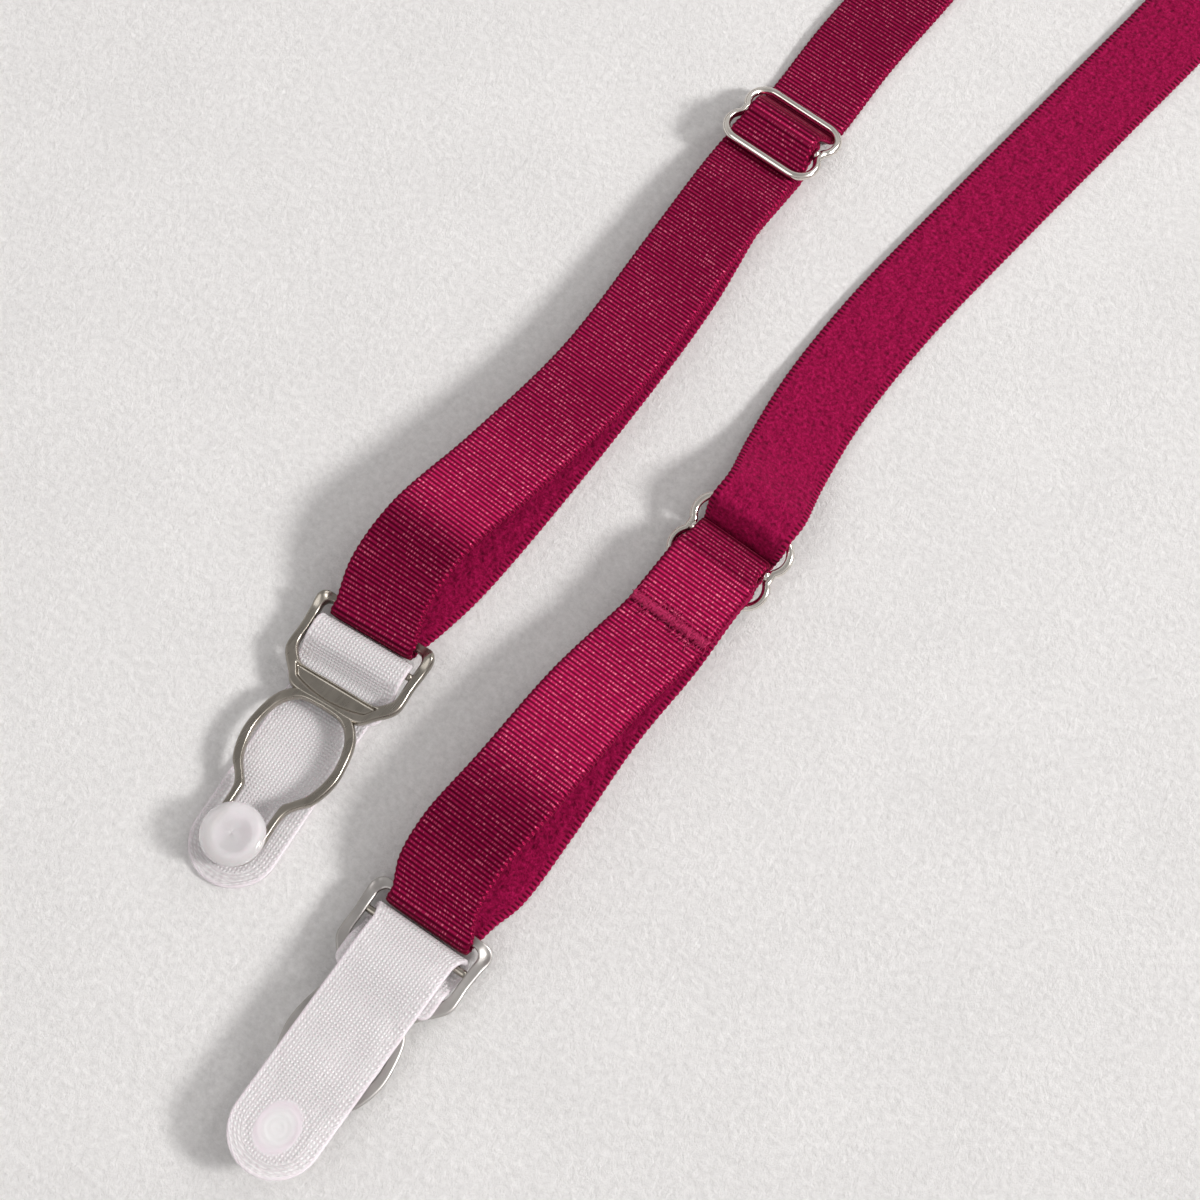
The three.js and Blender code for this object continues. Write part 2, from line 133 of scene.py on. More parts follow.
# %% Grid helper
def grid_quads(rows, columns, closed_rows=False, closed_columns=False):
    """Quads of a grid of points: each takes its point, the next one across and the next row."""
    r = np.arange(rows if closed_rows else rows - 1)
    c = np.arange(columns if closed_columns else columns - 1)
    r, c = np.meshgrid(r, c, indexing="ij")
    r2, c2 = (r + 1) % rows, (c + 1) % columns
    quads = np.stack([r * columns + c, r * columns + c2, r2 * columns + c2, r2 * columns + c], -1)
    return quads.reshape(-1, 4)


print("a grid of 3 by 4 points has", len(grid_quads(3, 4)), "quads")


# %% Mesh helper
def make_mesh(name, points, faces, materials, uv=None, face_material=None, smooth=True, rim=None):
    """A mesh object from points in straps' millimetres and a list of quad or triangle arrays."""
    points = (np.asarray(points, float).reshape(-1, 3) + SHIFT) * MM
    mesh = bpy.data.meshes.new(name)
    loops = np.concatenate([np.asarray(f).reshape(-1) for f in faces]).astype(np.int32)
    sizes = np.concatenate([np.full(len(f), np.asarray(f).shape[1]) for f in faces]).astype(np.int32)
    starts = np.concatenate([[0], np.cumsum(sizes)[:-1]]).astype(np.int32)
    mesh.vertices.add(len(points))
    mesh.vertices.foreach_set("co", points.reshape(-1).astype(np.float32))
    mesh.loops.add(len(loops))
    mesh.loops.foreach_set("vertex_index", loops)
    mesh.polygons.add(len(sizes))
    mesh.polygons.foreach_set("loop_start", starts)
    for material in materials:
        mesh.materials.append(material)
    if face_material is not None:
        mesh.polygons.foreach_set("material_index", np.asarray(face_material, np.int32))
    for layer_name, places in (("cloth", uv), ("rim", rim)):
        if places is not None:
            layer = mesh.uv_layers.new(name=layer_name)
            corners = np.asarray(places, np.float32).reshape(-1, 2)[loops]
            layer.data.foreach_set("uv", corners.reshape(-1))
    mesh.update(calc_edges=True)
    mesh.polygons.foreach_set("use_smooth", np.full(len(sizes), smooth))
    mesh.validate()
    obj = bpy.data.objects.new(name, mesh)
    bpy.context.scene.collection.objects.link(obj)
    print(f"{name}: {len(points)} points, {len(sizes)} faces")
    return obj


# %% [markdown]
# ## Material building blocks
#
# A finish is a Principled shader with a pattern of its own. An image could hold the
# pattern, but worked-out nodes stay sharp at any distance. The patterns read the UV map
# of the piece, which is in millimetres, or the object's coordinates, so that they keep
# their real size and stay on the surface when a piece moves.

# %% Node helpers
def new_material(name):
    """A material with a Principled shader, its node tree and a helper that adds nodes. The
    helper takes a socket by name, or by number as i0, i1 and so on."""
    material = bpy.data.materials.new(name)
    material.use_nodes = True
    tree = material.node_tree
    shader = tree.nodes["Principled BSDF"]

    def add(kind, settings=None, **inputs):
        node = tree.nodes.new(kind)
        for key, value in (settings or {}).items():
            setattr(node, key, value)
        for key, value in inputs.items():
            numbered = key[0] == "i" and key[1:].isdigit()
            socket = node.inputs[int(key[1:]) if numbered else key.replace("_", " ")]
            if isinstance(value, bpy.types.NodeSocket):
                tree.links.new(value, socket)
            else:
                socket.default_value = value
        return node

    return material, tree, shader, add


def ramp(add, factor, *stops):
    """A colour ramp through (place, colour) stops."""
    node = add("ShaderNodeValToRGB", i0=factor)
    elements = node.color_ramp.elements
    while len(elements) < len(stops):
        elements.new(0.5)
    for element, (place, colour) in zip(elements, stops):
        element.position = place
        element.color = (*colour, 1.0)
    return node.outputs["Color"]


def scaled(add, value, factor):
    """The value times a number or another value."""
    return add("ShaderNodeMath", {"operation": "MULTIPLY"}, i0=value, i1=factor).outputs[0]


def fade(add, value, start, end, first=1.0, last=0.0):
    """The first number up to the start, the last number from the end, and a slope between."""
    return add("ShaderNodeMapRange", i0=value, i1=start, i2=end, i3=first, i4=last).outputs[0]


def wave_of(add, value, pitch):
    """Half of one plus the cosine of a full turn for each pitch: 1 on a rib, 0 in a groove."""
    turn = scaled(add, value, 2 * math.pi / pitch)
    wave = add("ShaderNodeMath", {"operation": "COSINE"}, i0=turn)
    return add("ShaderNodeMath", {"operation": "MULTIPLY_ADD"}, i0=wave.outputs[0], i1=0.5, i2=0.5).outputs[0]


def multiplied(add, colour, shade, share=1.0):
    """The colour darkened by the shade, by a share of its full effect."""
    settings = {"data_type": "RGBA", "blend_type": "MULTIPLY"}
    return add("ShaderNodeMix", settings, i0=share, i6=colour, i7=shade).outputs[2]


def bump(add, shader, tree, height, distance, strength=1.0, under=None):
    """A bump of a height in metres on the shader's normal, on top of another bump."""
    node = add("ShaderNodeBump", Height=height, Distance=distance, Strength=strength)
    if under is not None:
        tree.links.new(under, node.inputs["Normal"])
    tree.links.new(node.outputs["Normal"], shader.inputs["Normal"])
    return node.outputs["Normal"]


helpers = (new_material, ramp, scaled, fade, wave_of, multiplied, bump)
print("node helpers:", ", ".join(helper.__name__ for helper in helpers))


# %% [markdown]
# ## Satin face
#
# The face of suspender elastic is a satin weave: shiny floats lie across the strap in
# rows. The mesh has the rows as very low ridges, but ridges alone look flat from here.
# So the finish paints them as a cosine along the UV map, at their real pitch of just
# over half a millimetre: painted shade in the grooves, deep wine, and painted light on
# the crests, raspberry. A noise that changes from row to row breaks each crest into
# painted glints, bright pink on some floats and none on others. The shader is partly
# metallic, and its gloss differs along and across the floats, whose direction comes from
# the UV map. Smooth parallel threads shine that way: the strap turns bright where it
# slopes to the light and dark elsewhere.

# %% Satin material
RIB_PITCH, WHIP_PITCH, PICOT_PITCH = 0.56, 0.64, 0.80
# First colour: painted shade in the rib grooves; second: the strap's red; third: painted light on crests.
GROOVE_SHADE_WINE, RASPBERRY, LIT_RIB = (0.070, 0.0007, 0.012), (0.195, 0.0032, 0.033), (0.330, 0.0090, 0.066)
ROW_STEP, FLOATS_PER_MM = 7.31, 4.6


def painted_glints(add, across, along, rib):
    """Painted glints on lit floats: a noise read at the row's number, shown only on the crest of its rib."""
    row = add("ShaderNodeMath", {"operation": "ROUND"}, i0=scaled(add, along, 1 / RIB_PITCH))
    row = scaled(add, row.outputs[0], ROW_STEP)
    cell = add("ShaderNodeCombineXYZ", i0=scaled(add, across, FLOATS_PER_MM), i1=row)
    dash = add("ShaderNodeTexNoise", Vector=cell.outputs[0], Scale=1.0, Detail=2.0, Roughness=0.6)
    lit = fade(add, dash.outputs["Fac"], 0.53, 0.66, 0.0, 1.0)
    crest = add("ShaderNodeMath", {"operation": "POWER"}, i0=rib, i1=3.0).outputs[0]
    return dash.outputs["Fac"], scaled(add, lit, crest)


def satin_material():
    """Colour from the ribs' cosine, with painted shade in the grooves and painted light on
    the crests, lightened by painted glints times their patches.
    """
    material, tree, shader, add = new_material("satin_face")
    uv = add("ShaderNodeUVMap", {"uv_map": "cloth"}).outputs["UV"]
    place = add("ShaderNodeSeparateXYZ", i0=uv)
    across, along = place.outputs["X"], place.outputs["Y"]
    rib = wave_of(add, along, RIB_PITCH)
    edge = add("ShaderNodeMath", {"operation": "ABSOLUTE"}, i0=across).outputs[0]
    woven = fade(add, edge, 5.5, 5.75)
    ribbed = add("ShaderNodeMix", {"data_type": "FLOAT"}, i0=woven, i2=0.45, i3=rib).outputs[0]
    # The ramp paints shade into the rib grooves and light onto the rib crests.
    base = ramp(add, ribbed, (0.08, GROOVE_SHADE_WINE), (0.55, RASPBERRY), (1.0, LIT_RIB))
    dash, painted_glint = painted_glints(add, across, along, rib)
    painted_glint = scaled(add, painted_glint, woven)
    patches = add("ShaderNodeTexNoise", Vector=uv, Scale=0.16, Detail=3.0, Roughness=0.6).outputs["Fac"]
    share = scaled(add, painted_glint, fade(add, patches, 0.35, 0.65, 0.30, 0.95))
    # A bright pink is mixed in where the glints fall: painted glints.
    colour = add("ShaderNodeMix", {"data_type": "RGBA"}, i0=share, i6=base)
    colour.inputs[7].default_value = (0.92, 0.22, 0.34, 1)
    tree.links.new(colour.outputs[2], shader.inputs["Base Color"])
    tree.links.new(fade(add, painted_glint, 0.0, 1.0, 0.415, 0.38), shader.inputs["Roughness"])
    shader.inputs["Sheen Weight"].default_value = 0.03
    shader.inputs["Sheen Tint"].default_value = (1.0, 0.25, 0.45, 1)
    shader.inputs["Metallic"].default_value = 0.60
    shader.inputs["Specular IOR Level"].default_value = 0.25
    shader.inputs["Specular Tint"].default_value = (1.0, 0.22, 0.40, 1)
    shader.inputs["Anisotropic"].default_value = 1.0
    floats = add("ShaderNodeTangent", {"direction_type": "UV_MAP", "uv_map": "cloth"})
    tree.links.new(floats.outputs["Tangent"], shader.inputs["Tangent"])
    under = bump(add, shader, tree, ribbed, 0.000005, 0.8)
    bump(add, shader, tree, dash, 0.000005, 0.5, under)
    return material


satin = satin_material()
print("satin face:", RIB_PITCH, "mm from rib to rib,", len(satin.node_tree.nodes), "nodes")


# %% [markdown]
# ## Plush back
#
# The back that lies against the leg is brushed to a short pile. It could be made of real
# hairs, but from an arm's length the pile only shows as a matt, mottled surface. So two
# patterns are laid over each other: a noise where the pile leans different ways, and
# cells that give small dimples, darkened with painted shade. A band inside each edge has
# the whipped stitches, with painted shade in the grooves between them.

# %% Plush material
def plush_material():
    """Colour from the pile's noise times painted shade in the cells' dimples, with a stitched
    band at the edge that has painted shade between its stitches.
    """
    material, tree, shader, add = new_material("plush_back")
    uv = add("ShaderNodeUVMap", {"uv_map": "cloth"}).outputs["UV"]
    place = add("ShaderNodeSeparateXYZ", i0=uv)
    edge = add("ShaderNodeMath", {"operation": "ABSOLUTE"}, i0=place.outputs["X"]).outputs[0]
    lean = add("ShaderNodeTexNoise", Vector=uv, Scale=2.2, Detail=4.0, Roughness=0.7)
    tufts = add("ShaderNodeTexVoronoi", Vector=uv, Scale=0.95, Randomness=0.55)
    colour = ramp(add, lean.outputs["Fac"], (0.34, (0.140, 0.0010, 0.023)), (0.52, (0.262, 0.0028, 0.047)),
                  (0.72, (0.430, 0.0085, 0.092)))
    # The dimples' dark centres are painted shade; the same values also drive the bump.
    dimple = ramp(add, tufts.outputs["Distance"], (0.06, (0.58, 0.58, 0.58)), (0.40, (1.06, 1.06, 1.06)))
    mixed = multiplied(add, colour, dimple, 0.85)
    whip = wave_of(add, place.outputs["Y"], WHIP_PITCH)
    band = scaled(add, fade(add, edge, 5.05, 5.25, 0.0, 1.0), fade(add, edge, 5.8, 5.95))
    # Dark in the grooves between whip stitches: painted shade.
    shaded_whip = ramp(add, whip, (0.10, (0.070, 0.0004, 0.011)), (0.75, (0.310, 0.0045, 0.056)))
    edged = add("ShaderNodeMix", {"data_type": "RGBA"}, i0=band, i6=mixed, i7=shaded_whip)
    tree.links.new(edged.outputs[2], shader.inputs["Base Color"])
    shader.inputs["Roughness"].default_value = 0.85
    shader.inputs["Sheen Weight"].default_value = 0.04
    shader.inputs["Sheen Tint"].default_value = (1.0, 0.25, 0.45, 1)
    shader.inputs["Specular IOR Level"].default_value = 0.22
    shader.inputs["Specular Tint"].default_value = (1.0, 0.35, 0.55, 1)
    under = bump(add, shader, tree, lean.outputs["Fac"], 0.00022, 1.0)
    bump(add, shader, tree, dimple, 0.00018, 0.8, under)
    return material


plush = plush_material()
print("plush back:", WHIP_PITCH, "mm from whip stitch to whip stitch")


# %% [markdown]
# ## Sewing thread
#
# The sewing thread is spun from fine fibres. A twist could be modelled strand by strand,
# but the thread is under a third of a millimetre thick, so a fine noise is enough.

# %% Thread material
def thread_material():
    """Colour and bump from one fine noise."""
    material, tree, shader, add = new_material("sewing_thread")
    coords = add("ShaderNodeTexCoord").outputs["Object"]
    twist = add("ShaderNodeTexNoise", Vector=coords, Scale=5200.0, Detail=2.0)
    colour = ramp(add, twist.outputs["Fac"], (0.3, (0.26, 0.006, 0.048)), (0.7, (0.48, 0.020, 0.105)))
    tree.links.new(colour, shader.inputs["Base Color"])
    shader.inputs["Roughness"].default_value = 0.55
    shader.inputs["Specular Tint"].default_value = (1.0, 0.4, 0.6, 1)
    bump(add, shader, tree, twist.outputs["Fac"], 0.00005, 0.6)
    return material


thread = thread_material()
print("thread:", thread.name)

# %% [markdown]
# ## Plated metal
#
# The sliders are brightly plated wire. The clips are pressed from sheet and plated too,
# but darker than the sliders, and duller at the back. One could paint the scratches, but
# a noise that is squeezed along one axis gives hairlines at no cost, and it also varies
# the roughness, which is what the eye reads as worn plating.

# %% Metal materials
def metal_material(name, light, dark, roughness, grain_scale, grain_depth):
    """Plated metal: hairline scratches from stretched noise, and a slow change of tone."""
    material, tree, shader, add = new_material(name)
    coords = add("ShaderNodeTexCoord").outputs["Object"]
    turned = add("ShaderNodeMapping", Vector=coords)
    turned.inputs["Scale"].default_value = (1.0, 0.12, 1.0)
    turned.inputs["Rotation"].default_value = (0.0, 0.0, 0.6)
    hairlines = turned.outputs["Vector"]
    grain = add("ShaderNodeTexNoise", Vector=hairlines, Scale=grain_scale, Detail=4.0, Roughness=0.6)
    tone = add("ShaderNodeTexNoise", Vector=coords, Scale=240.0, Detail=3.0)
    colour = ramp(add, tone.outputs["Fac"], (0.32, dark), (0.68, light))
    tree.links.new(colour, shader.inputs["Base Color"])
    rough = fade(add, grain.outputs["Fac"], 0.3, 0.75, roughness * 0.8, roughness * 1.5)
    tree.links.new(rough, shader.inputs["Roughness"])
    shader.inputs["Metallic"].default_value = 1.0
    bump(add, shader, tree, grain.outputs["Fac"], grain_depth, 0.35)
    return material


bright_nickel = metal_material("bright_nickel", (0.86, 0.82, 0.76), (0.74, 0.70, 0.64), 0.15, 1400.0, 0.00001)
clip_nickel = metal_material("clip_nickel", (0.44, 0.405, 0.355), (0.32, 0.295, 0.255), 0.26, 1500.0, 0.00003)
dull_nickel = metal_material("dull_nickel", (0.56, 0.54, 0.52), (0.42, 0.40, 0.385), 0.40, 900.0, 0.00003)
print("metals:", bright_nickel.name, clip_nickel.name, dull_nickel.name)

# %% [markdown]
# ## Milky rubber
#
# The tab and its button are clear rubber. A fine mesh pattern turns the tab milky: most
# light spreads inside it and some passes through. Full glass-like light paths would be
# noisy and slow. A little subsurface scattering, a little transmission and an opacity
# below one give the same look. The button is the same rubber without the mesh.

# %% Rubber materials
MESH_CELL, ROW_CELL = 0.46, 0.56


def frosted(name, light, dark, roughness, clear, solid):
    """Milky rubber: a cloudy tint, a fine frost, some light spread inside and some let through."""
    material, tree, shader, add = new_material(name)
    coords = add("ShaderNodeTexCoord").outputs["Object"]
    cloud = add("ShaderNodeTexNoise", Vector=coords, Scale=420.0, Detail=3.0)
    colour = ramp(add, cloud.outputs["Fac"], (0.3, dark), (0.7, light))
    tree.links.new(colour, shader.inputs["Base Color"])
    shader.inputs["Roughness"].default_value = roughness
    shader.inputs["IOR"].default_value = 1.48
    shader.inputs["Transmission Weight"].default_value = clear
    shader.inputs["Alpha"].default_value = solid
    shader.inputs["Subsurface Weight"].default_value = 0.35
    shader.inputs["Subsurface Radius"].default_value = (1.0, 0.85, 0.9)
    shader.inputs["Subsurface Scale"].default_value = 0.0012
    frost = add("ShaderNodeTexNoise", Vector=coords, Scale=2600.0, Detail=2.0)
    under = bump(add, shader, tree, frost.outputs["Fac"], 0.00003, 0.5)
    return material, tree, shader, add, colour, under


def tab_rubber():
    """The tab: square cells in the middle, rows of cells that follow the edge, and a smooth
    lilac rim. The rim map holds the distance to the edge and to the button, in millimetres.
    A cell's relief is the product of two waves, across and along."""
    material, tree, shader, add, colour, under = frosted(
        "mesh_rubber", (0.97, 0.955, 0.962), (0.95, 0.925, 0.938), 0.36, 0.04, 0.62)
    cloth = add("ShaderNodeSeparateXYZ", i0=add("ShaderNodeUVMap", {"uv_map": "cloth"}).outputs["UV"])
    rim = add("ShaderNodeSeparateXYZ", i0=add("ShaderNodeUVMap", {"uv_map": "rim"}).outputs["UV"])
    long_waves = wave_of(add, cloth.outputs["Y"], MESH_CELL)
    square = scaled(add, wave_of(add, cloth.outputs["X"], MESH_CELL), long_waves)
    rows = scaled(add, wave_of(add, rim.outputs["X"], MESH_CELL), wave_of(add, cloth.outputs["Y"], ROW_CELL))
    bordered = fade(add, rim.outputs["X"], 1.7, 1.9)
    cells = add("ShaderNodeMix", {"data_type": "FLOAT"}, i0=bordered, i2=square, i3=rows).outputs[0]
    plain = fade(add, rim.outputs["X"], 0.28, 0.48)
    seat = fade(add, rim.outputs["Y"], 2.5, 2.8)
    smooth = add("ShaderNodeMath", {"operation": "MAXIMUM"}, i0=plain, i1=seat).outputs[0]
    relief = add("ShaderNodeMix", {"data_type": "FLOAT"}, i0=smooth, i2=cells, i3=0.6).outputs[0]
    shade = ramp(add, relief, (0.02, (0.83, 0.80, 0.815)), (0.45, (1.0, 1.0, 1.0)))
    shaded = multiplied(add, colour, shade)
    lilac = scaled(add, smooth, fade(add, rim.outputs["Y"], 1.3, 2.3, 0.0, 0.75))
    tinted = add("ShaderNodeMix", {"data_type": "RGBA"}, i0=lilac, i6=shaded)
    tinted.inputs[7].default_value = (0.90, 0.79, 0.86, 1)
    tree.links.new(tinted.outputs[2], shader.inputs["Base Color"])
    bump(add, shader, tree, relief, 0.00010, 1.0, under)
    return material


mesh_rubber = tab_rubber()
clear_rubber = frosted("clear_rubber", (0.965, 0.935, 0.955), (0.905, 0.87, 0.895), 0.13, 0.36, 0.60)[0]
print("finishes:", [m.name for m in bpy.data.materials])

# %% [markdown]
# ## The route of a strap
#
# Seen from the side, a strap runs in straight stretches between round posts: the
# slider's bars and the clip's top bar. A curve with hand-placed handles could follow it,
# but it would miss the bars when a size changes. So the route is worked out: a stop is a
# post with a signed radius, positive with the post on the left of the travel. Between two
# stops the line is their common tangent, and round a stop it is an arc. A smooth curve
# then runs through all of it.

# %% Stops of a route
def post(x, y, z, r, cut=None, skew=0.0):
    """A round stop. A cut names the place where one stretch ends and the next one starts."""
    return dict(x=x, y=y, z=z, r=r, cut=cut, skew=skew)


def point(x, y, z, cut=None, skew=0.0):
    """A stop without a radius."""
    return post(x, y, z, 0.0, cut, skew)


def route_angle(a, b):
    """Direction of the normal on the common tangent of two posts."""
    dy, dz = b["y"] - a["y"], b["z"] - a["z"]
    share = (a["r"] - b["r"]) / math.hypot(dy, dz)
    return math.atan2(dz, dy) - math.acos(max(-1, min(1, share)))


level = route_angle(post(0, 0, 0, 1), post(0, 10, 0, 1))
print("two equal posts in a level row touch their line at", round(math.degrees(level)), "degrees")


# %% Line through the stops
def route_points(stops):
    """Control points (x, y, z, skew) of the line through the stops, and where its cuts are.
    Round a post, a point is the centre plus the radius times cosine and sine of an angle
    that runs from the line before to the line after."""
    points, cuts = [], {}
    for i, stop in enumerate(stops):
        before = route_angle(stops[i - 1], stop) if i else None
        after = route_angle(stop, stops[i + 1]) if i < len(stops) - 1 else None
        start = before if before is not None else after
        end = after if after is not None else before
        turn = 0.0
        if stop["r"]:
            turn = (end - start + math.pi) % (2 * math.pi) - math.pi
            turn += 2 * math.pi if stop["r"] > 0 and turn < -1 else 0
            turn -= 2 * math.pi if stop["r"] < 0 and turn > 1 else 0
        count = math.ceil(abs(turn) / 0.4)
        for k in range(count + 1):
            angle = start + turn * (k / count if count else 0)
            y, z = stop["y"] + stop["r"] * math.cos(angle), stop["z"] + stop["r"] * math.sin(angle)
            points.append((stop["x"], y, z, stop["skew"]))
        if stop["cut"]:
            cuts[stop["cut"]] = len(points) - 1
    return np.array(points), cuts


def smooth_line(points, per_span=24):
    """Smooth curve through the points: each span is a cubic, and its end slopes come from
    knots that are spaced by the square root of the chord. Returns the curve's points and
    the rows where it passes the given points."""
    p = np.vstack([2 * points[0] - points[1], points, 2 * points[-1] - points[-2]])
    chord = np.maximum(np.linalg.norm(np.diff(p[:, :3], axis=0), axis=1), 1e-4) ** 0.5
    u = np.linspace(0, 1, per_span, endpoint=False)[:, None]
    spans = []
    for i in range(len(points) - 1):
        p0, p1, p2, p3 = p[i:i + 4]
        a, b, c = chord[i:i + 3]
        m1 = ((p1 - p0) / a - (p2 - p0) / (a + b) + (p2 - p1) / b) * b
        m2 = ((p2 - p1) / b - (p3 - p1) / (b + c) + (p3 - p2) / c) * b
        spans.append(p1 + m1 * u + (3 * (p2 - p1) - 2 * m1 - m2) * u**2 + (2 * (p1 - p2) + m1 + m2) * u**3)
    spans.append(points[-1:])
    return np.vstack(spans), np.arange(len(points)) * per_span


def resample(line, first, last, step):
    """Even rows along the line between two knots: places, unit directions, skews, lengths."""
    total = np.concatenate([[0], np.cumsum(np.linalg.norm(np.diff(line[:, :3], axis=0), axis=1))])
    count = max(2, int(round((total[last] - total[first]) / step)) + 1)
    along = np.linspace(total[first], total[last], count)
    at = np.stack([np.interp(along, total, line[:, k]) for k in range(4)], 1)
    ahead = np.stack([np.interp(along + 0.05, total, line[:, k]) for k in range(3)], 1)
    behind = np.stack([np.interp(along - 0.05, total, line[:, k]) for k in range(3)], 1)
    way = ahead - behind
    way[:, 0] = 0
    way /= np.linalg.norm(way, axis=1, keepdims=True)
    return at[:, :3], way, at[:, 3], along


bend = smooth_line(route_points([point(0, 0, 0), post(0, 10, 1, 1), point(0, 0, 2)])[0])[0]
print("a line round one post has", len(bend), "points")

# %% [markdown]
# ## The two straps' stops
#
# The left strap leaves the garment satin side up. The right strap is the same strap
# turned over, so its plush back shows until it passes the slider, and then the satin
# face shows. Both could be one list that is mirrored, but each lies in its own easy
# bends, so only the hem, the slider and the sewn end are shared. The loose stretches
# between them are short lists of places where the strap lies or lifts.

# %% Stops that both straps share
def hem_stops(x):
    """The strap's start on top of itself, round a tight fold at the garment, and back under."""
    top = half + 2 * hem_radius
    return [point(x, garment_y - hem_length, top), point(x, garment_y - hem_length / 2, top),
            post(x, garment_y - half - hem_radius, half + hem_radius, -hem_radius),
            point(x, garment_y - hem_length / 2, half, "hem")]


def through_slider(strap):
    """Past the far outer bar, over the middle bar, and past the near outer bar."""
    x, y = strap["slider"]
    up = strap["up"]
    lower, upper, middle, _, reach = slider_heights(strap)
    return [point(x, y + reach + 2.5, upper - up * pass_radius, "lead"),
            post(x, y + reach, upper, -up * pass_radius), post(x, y, middle, up * over_wrap),
            post(x, y - reach, lower, -up * pass_radius),
            point(x, y - reach - 2.5, lower - up * pass_radius, "weave")]


def sewn_stops(strap, height):
    """Up to the slider under its own tack, round the middle bar, and back to the tack."""
    x, y = strap["slider"]
    up = strap["up"]
    lower, _, middle, _, _ = slider_heights(strap)
    layer = lower - up * (pass_radius + layer_step)
    return [point(x, y - sewn_reach - tack_width, height, "loop"), point(x, y - sewn_reach, height, "tack"),
            point(x, y - bar_spacing, layer - up * layer_step),
            point(x, y - bar_spacing + 1.9, layer - up * layer_step), post(x, y, middle, up * wrap_radius),
            point(x, y - bar_spacing + 1.1, layer), point(x, y - bar_spacing - 0.8, layer),
            point(x, y - sewn_reach, height + up * layer_step)]


print("stops at a slider:", len(through_slider(LEFT)))


# %% Stops of the left and right strap
def left_stops():
    """Hem, slider, the loop's upper layer, the clip's bar, its lower layer, the sewn end."""
    strap = LEFT
    x, y = strap["clip"]
    sy = strap["slider"][1]
    skew = math.tan(strap["yaw"])

    def along(share):
        return y + share * (sy - y)

    return [*hem_stops(strap["hem"]), point(-20.8, sy + 32, half + 0.2), point(-21.1, sy + 18, half + 0.2),
            *through_slider(strap), point(-20.4, sy - sewn_reach, 3.0), point(-19.4, along(0.72), 3.8),
            point(-18.1, along(0.5), 4.9), point(-19.3, along(0.3), 6.4), point(-21.2, along(0.14), 6.9),
            point(-21.0, along(0.05), bar_height + fold_radius + 1.4, "first", skew / 2),
            post(x, y, bar_height, fold_radius, None, skew),
            point(-18.6, along(0.05), bar_height - fold_radius, "fold", skew / 2),
            point(-17.8, along(0.14), half), point(-17.8, along(0.45), half), point(-18.9, along(0.7), half),
            *sewn_stops(strap, strap["sewn"])]


def right_stops():
    """Hem, slider, the loop's lower layer, the clip's bar, its upper layer, the sewn end."""
    strap = RIGHT
    x, y = strap["clip"]
    sy = strap["slider"][1]
    skew = math.tan(strap["yaw"])
    bar = clip_height - bar_height

    def along(share):
        return y + share * (sy - y)

    return [*hem_stops(strap["hem"]), point(12.1, sy + 101, half), point(10.2, sy + 82, half),
            point(8.0, sy + 60, half), point(6.3, sy + 40, half), point(6.4, sy + 25, half + 0.4),
            point(8.0, sy + 14, half + 1.9), *through_slider(strap), point(9.6, along(0.75), half + 0.3),
            point(9.3, along(0.55), half), point(10.3, along(0.3), half),
            point(10.6, along(0.13), half + 0.1),
            point(9.7, along(0.055), bar - fold_radius, "first", skew / 2),
            post(x, y, bar, -fold_radius, None, skew),
            point(7.7, along(0.05), bar + fold_radius + 0.8, "fold", skew / 2), point(7.1, along(0.14), 5.9),
            point(7.7, along(0.3), 6.7), point(8.1, along(0.55), 6.0), *sewn_stops(strap, strap["sewn"])]


print("stops of the left strap:", len(left_stops()), "and of the right one:", len(right_stops()))

# %% [markdown]
# ## A strap's cross-section
#
# Across the strap the section is a flat loop with rounded edges. The satin face carries
# very low cross ribs. The plush back has a soft uneven pile, and a row of whipped ridges
# runs inside each edge. Small picots make the outer edge toothed. A plain ribbon with a
# Solidify modifier would have two equal faces and sharp edges. So each face has its own
# height, as a function of the place along the strap and across it.

# %% Uneven pile
def crowded(count, share):
    """Places from -1 to 1 that crowd towards both ends: the sine of an even sweep."""
    sweep_end = math.pi / 2 * share
    return np.sin(np.linspace(-1, 1, count) * sweep_end) / math.sin(sweep_end)


ACROSS = crowded(41, 0.86)
pile_field = np.random.default_rng(5).normal(size=(64, 64))
for axis in (0, 1):
    pile_field = (pile_field + np.roll(pile_field, 1, axis)) / 1.4


def pile(along, across):
    """Uneven pile: a smoothed random field, repeated and read with bilinear weights."""
    i, j = (along * 2.2) % 64, (across * 2.2) % 64
    i0, j0 = i.astype(int), j.astype(int)
    fi, fj = i - i0, j - j0
    f = pile_field
    top = f[i0 % 64, j0 % 64] * (1 - fj) + f[i0 % 64, (j0 + 1) % 64] * fj
    low = f[(i0 + 1) % 64, j0 % 64] * (1 - fj) + f[(i0 + 1) % 64, (j0 + 1) % 64] * fj
    return top * (1 - fi) + low * fi


print("pile from", pile_field.min().round(2), "to", pile_field.max().round(2))


# %% Heights of the two faces
def rounded_body(a):
    """Half the thickness in the middle, falling to nothing in a tight round at the edges."""
    return half * np.sqrt(np.clip(1 - np.abs(a) ** 22, 0, 1))


def satin_height(along, a):
    """Rise of the satin face: the body times one plus a low cosine of ribs, less a groove
    inside each edge, plus a cosine of picots on the edge, and a slight crown."""
    inside = 1 / (1 + np.exp((np.abs(a) - 0.92) * 90))
    rib = np.cos(2 * math.pi * along / RIB_PITCH)
    groove = np.exp(-((np.abs(a) - 0.925) / 0.014) ** 2)
    picot = np.cos(2 * math.pi * along / PICOT_PITCH) * np.exp(-((np.abs(a) - 0.965) / 0.025) ** 2)
    return rounded_body(a) * (1 + 0.008 * rib * inside - 0.07 * groove + 0.13 * picot) + 0.02 * (1 - a * a)


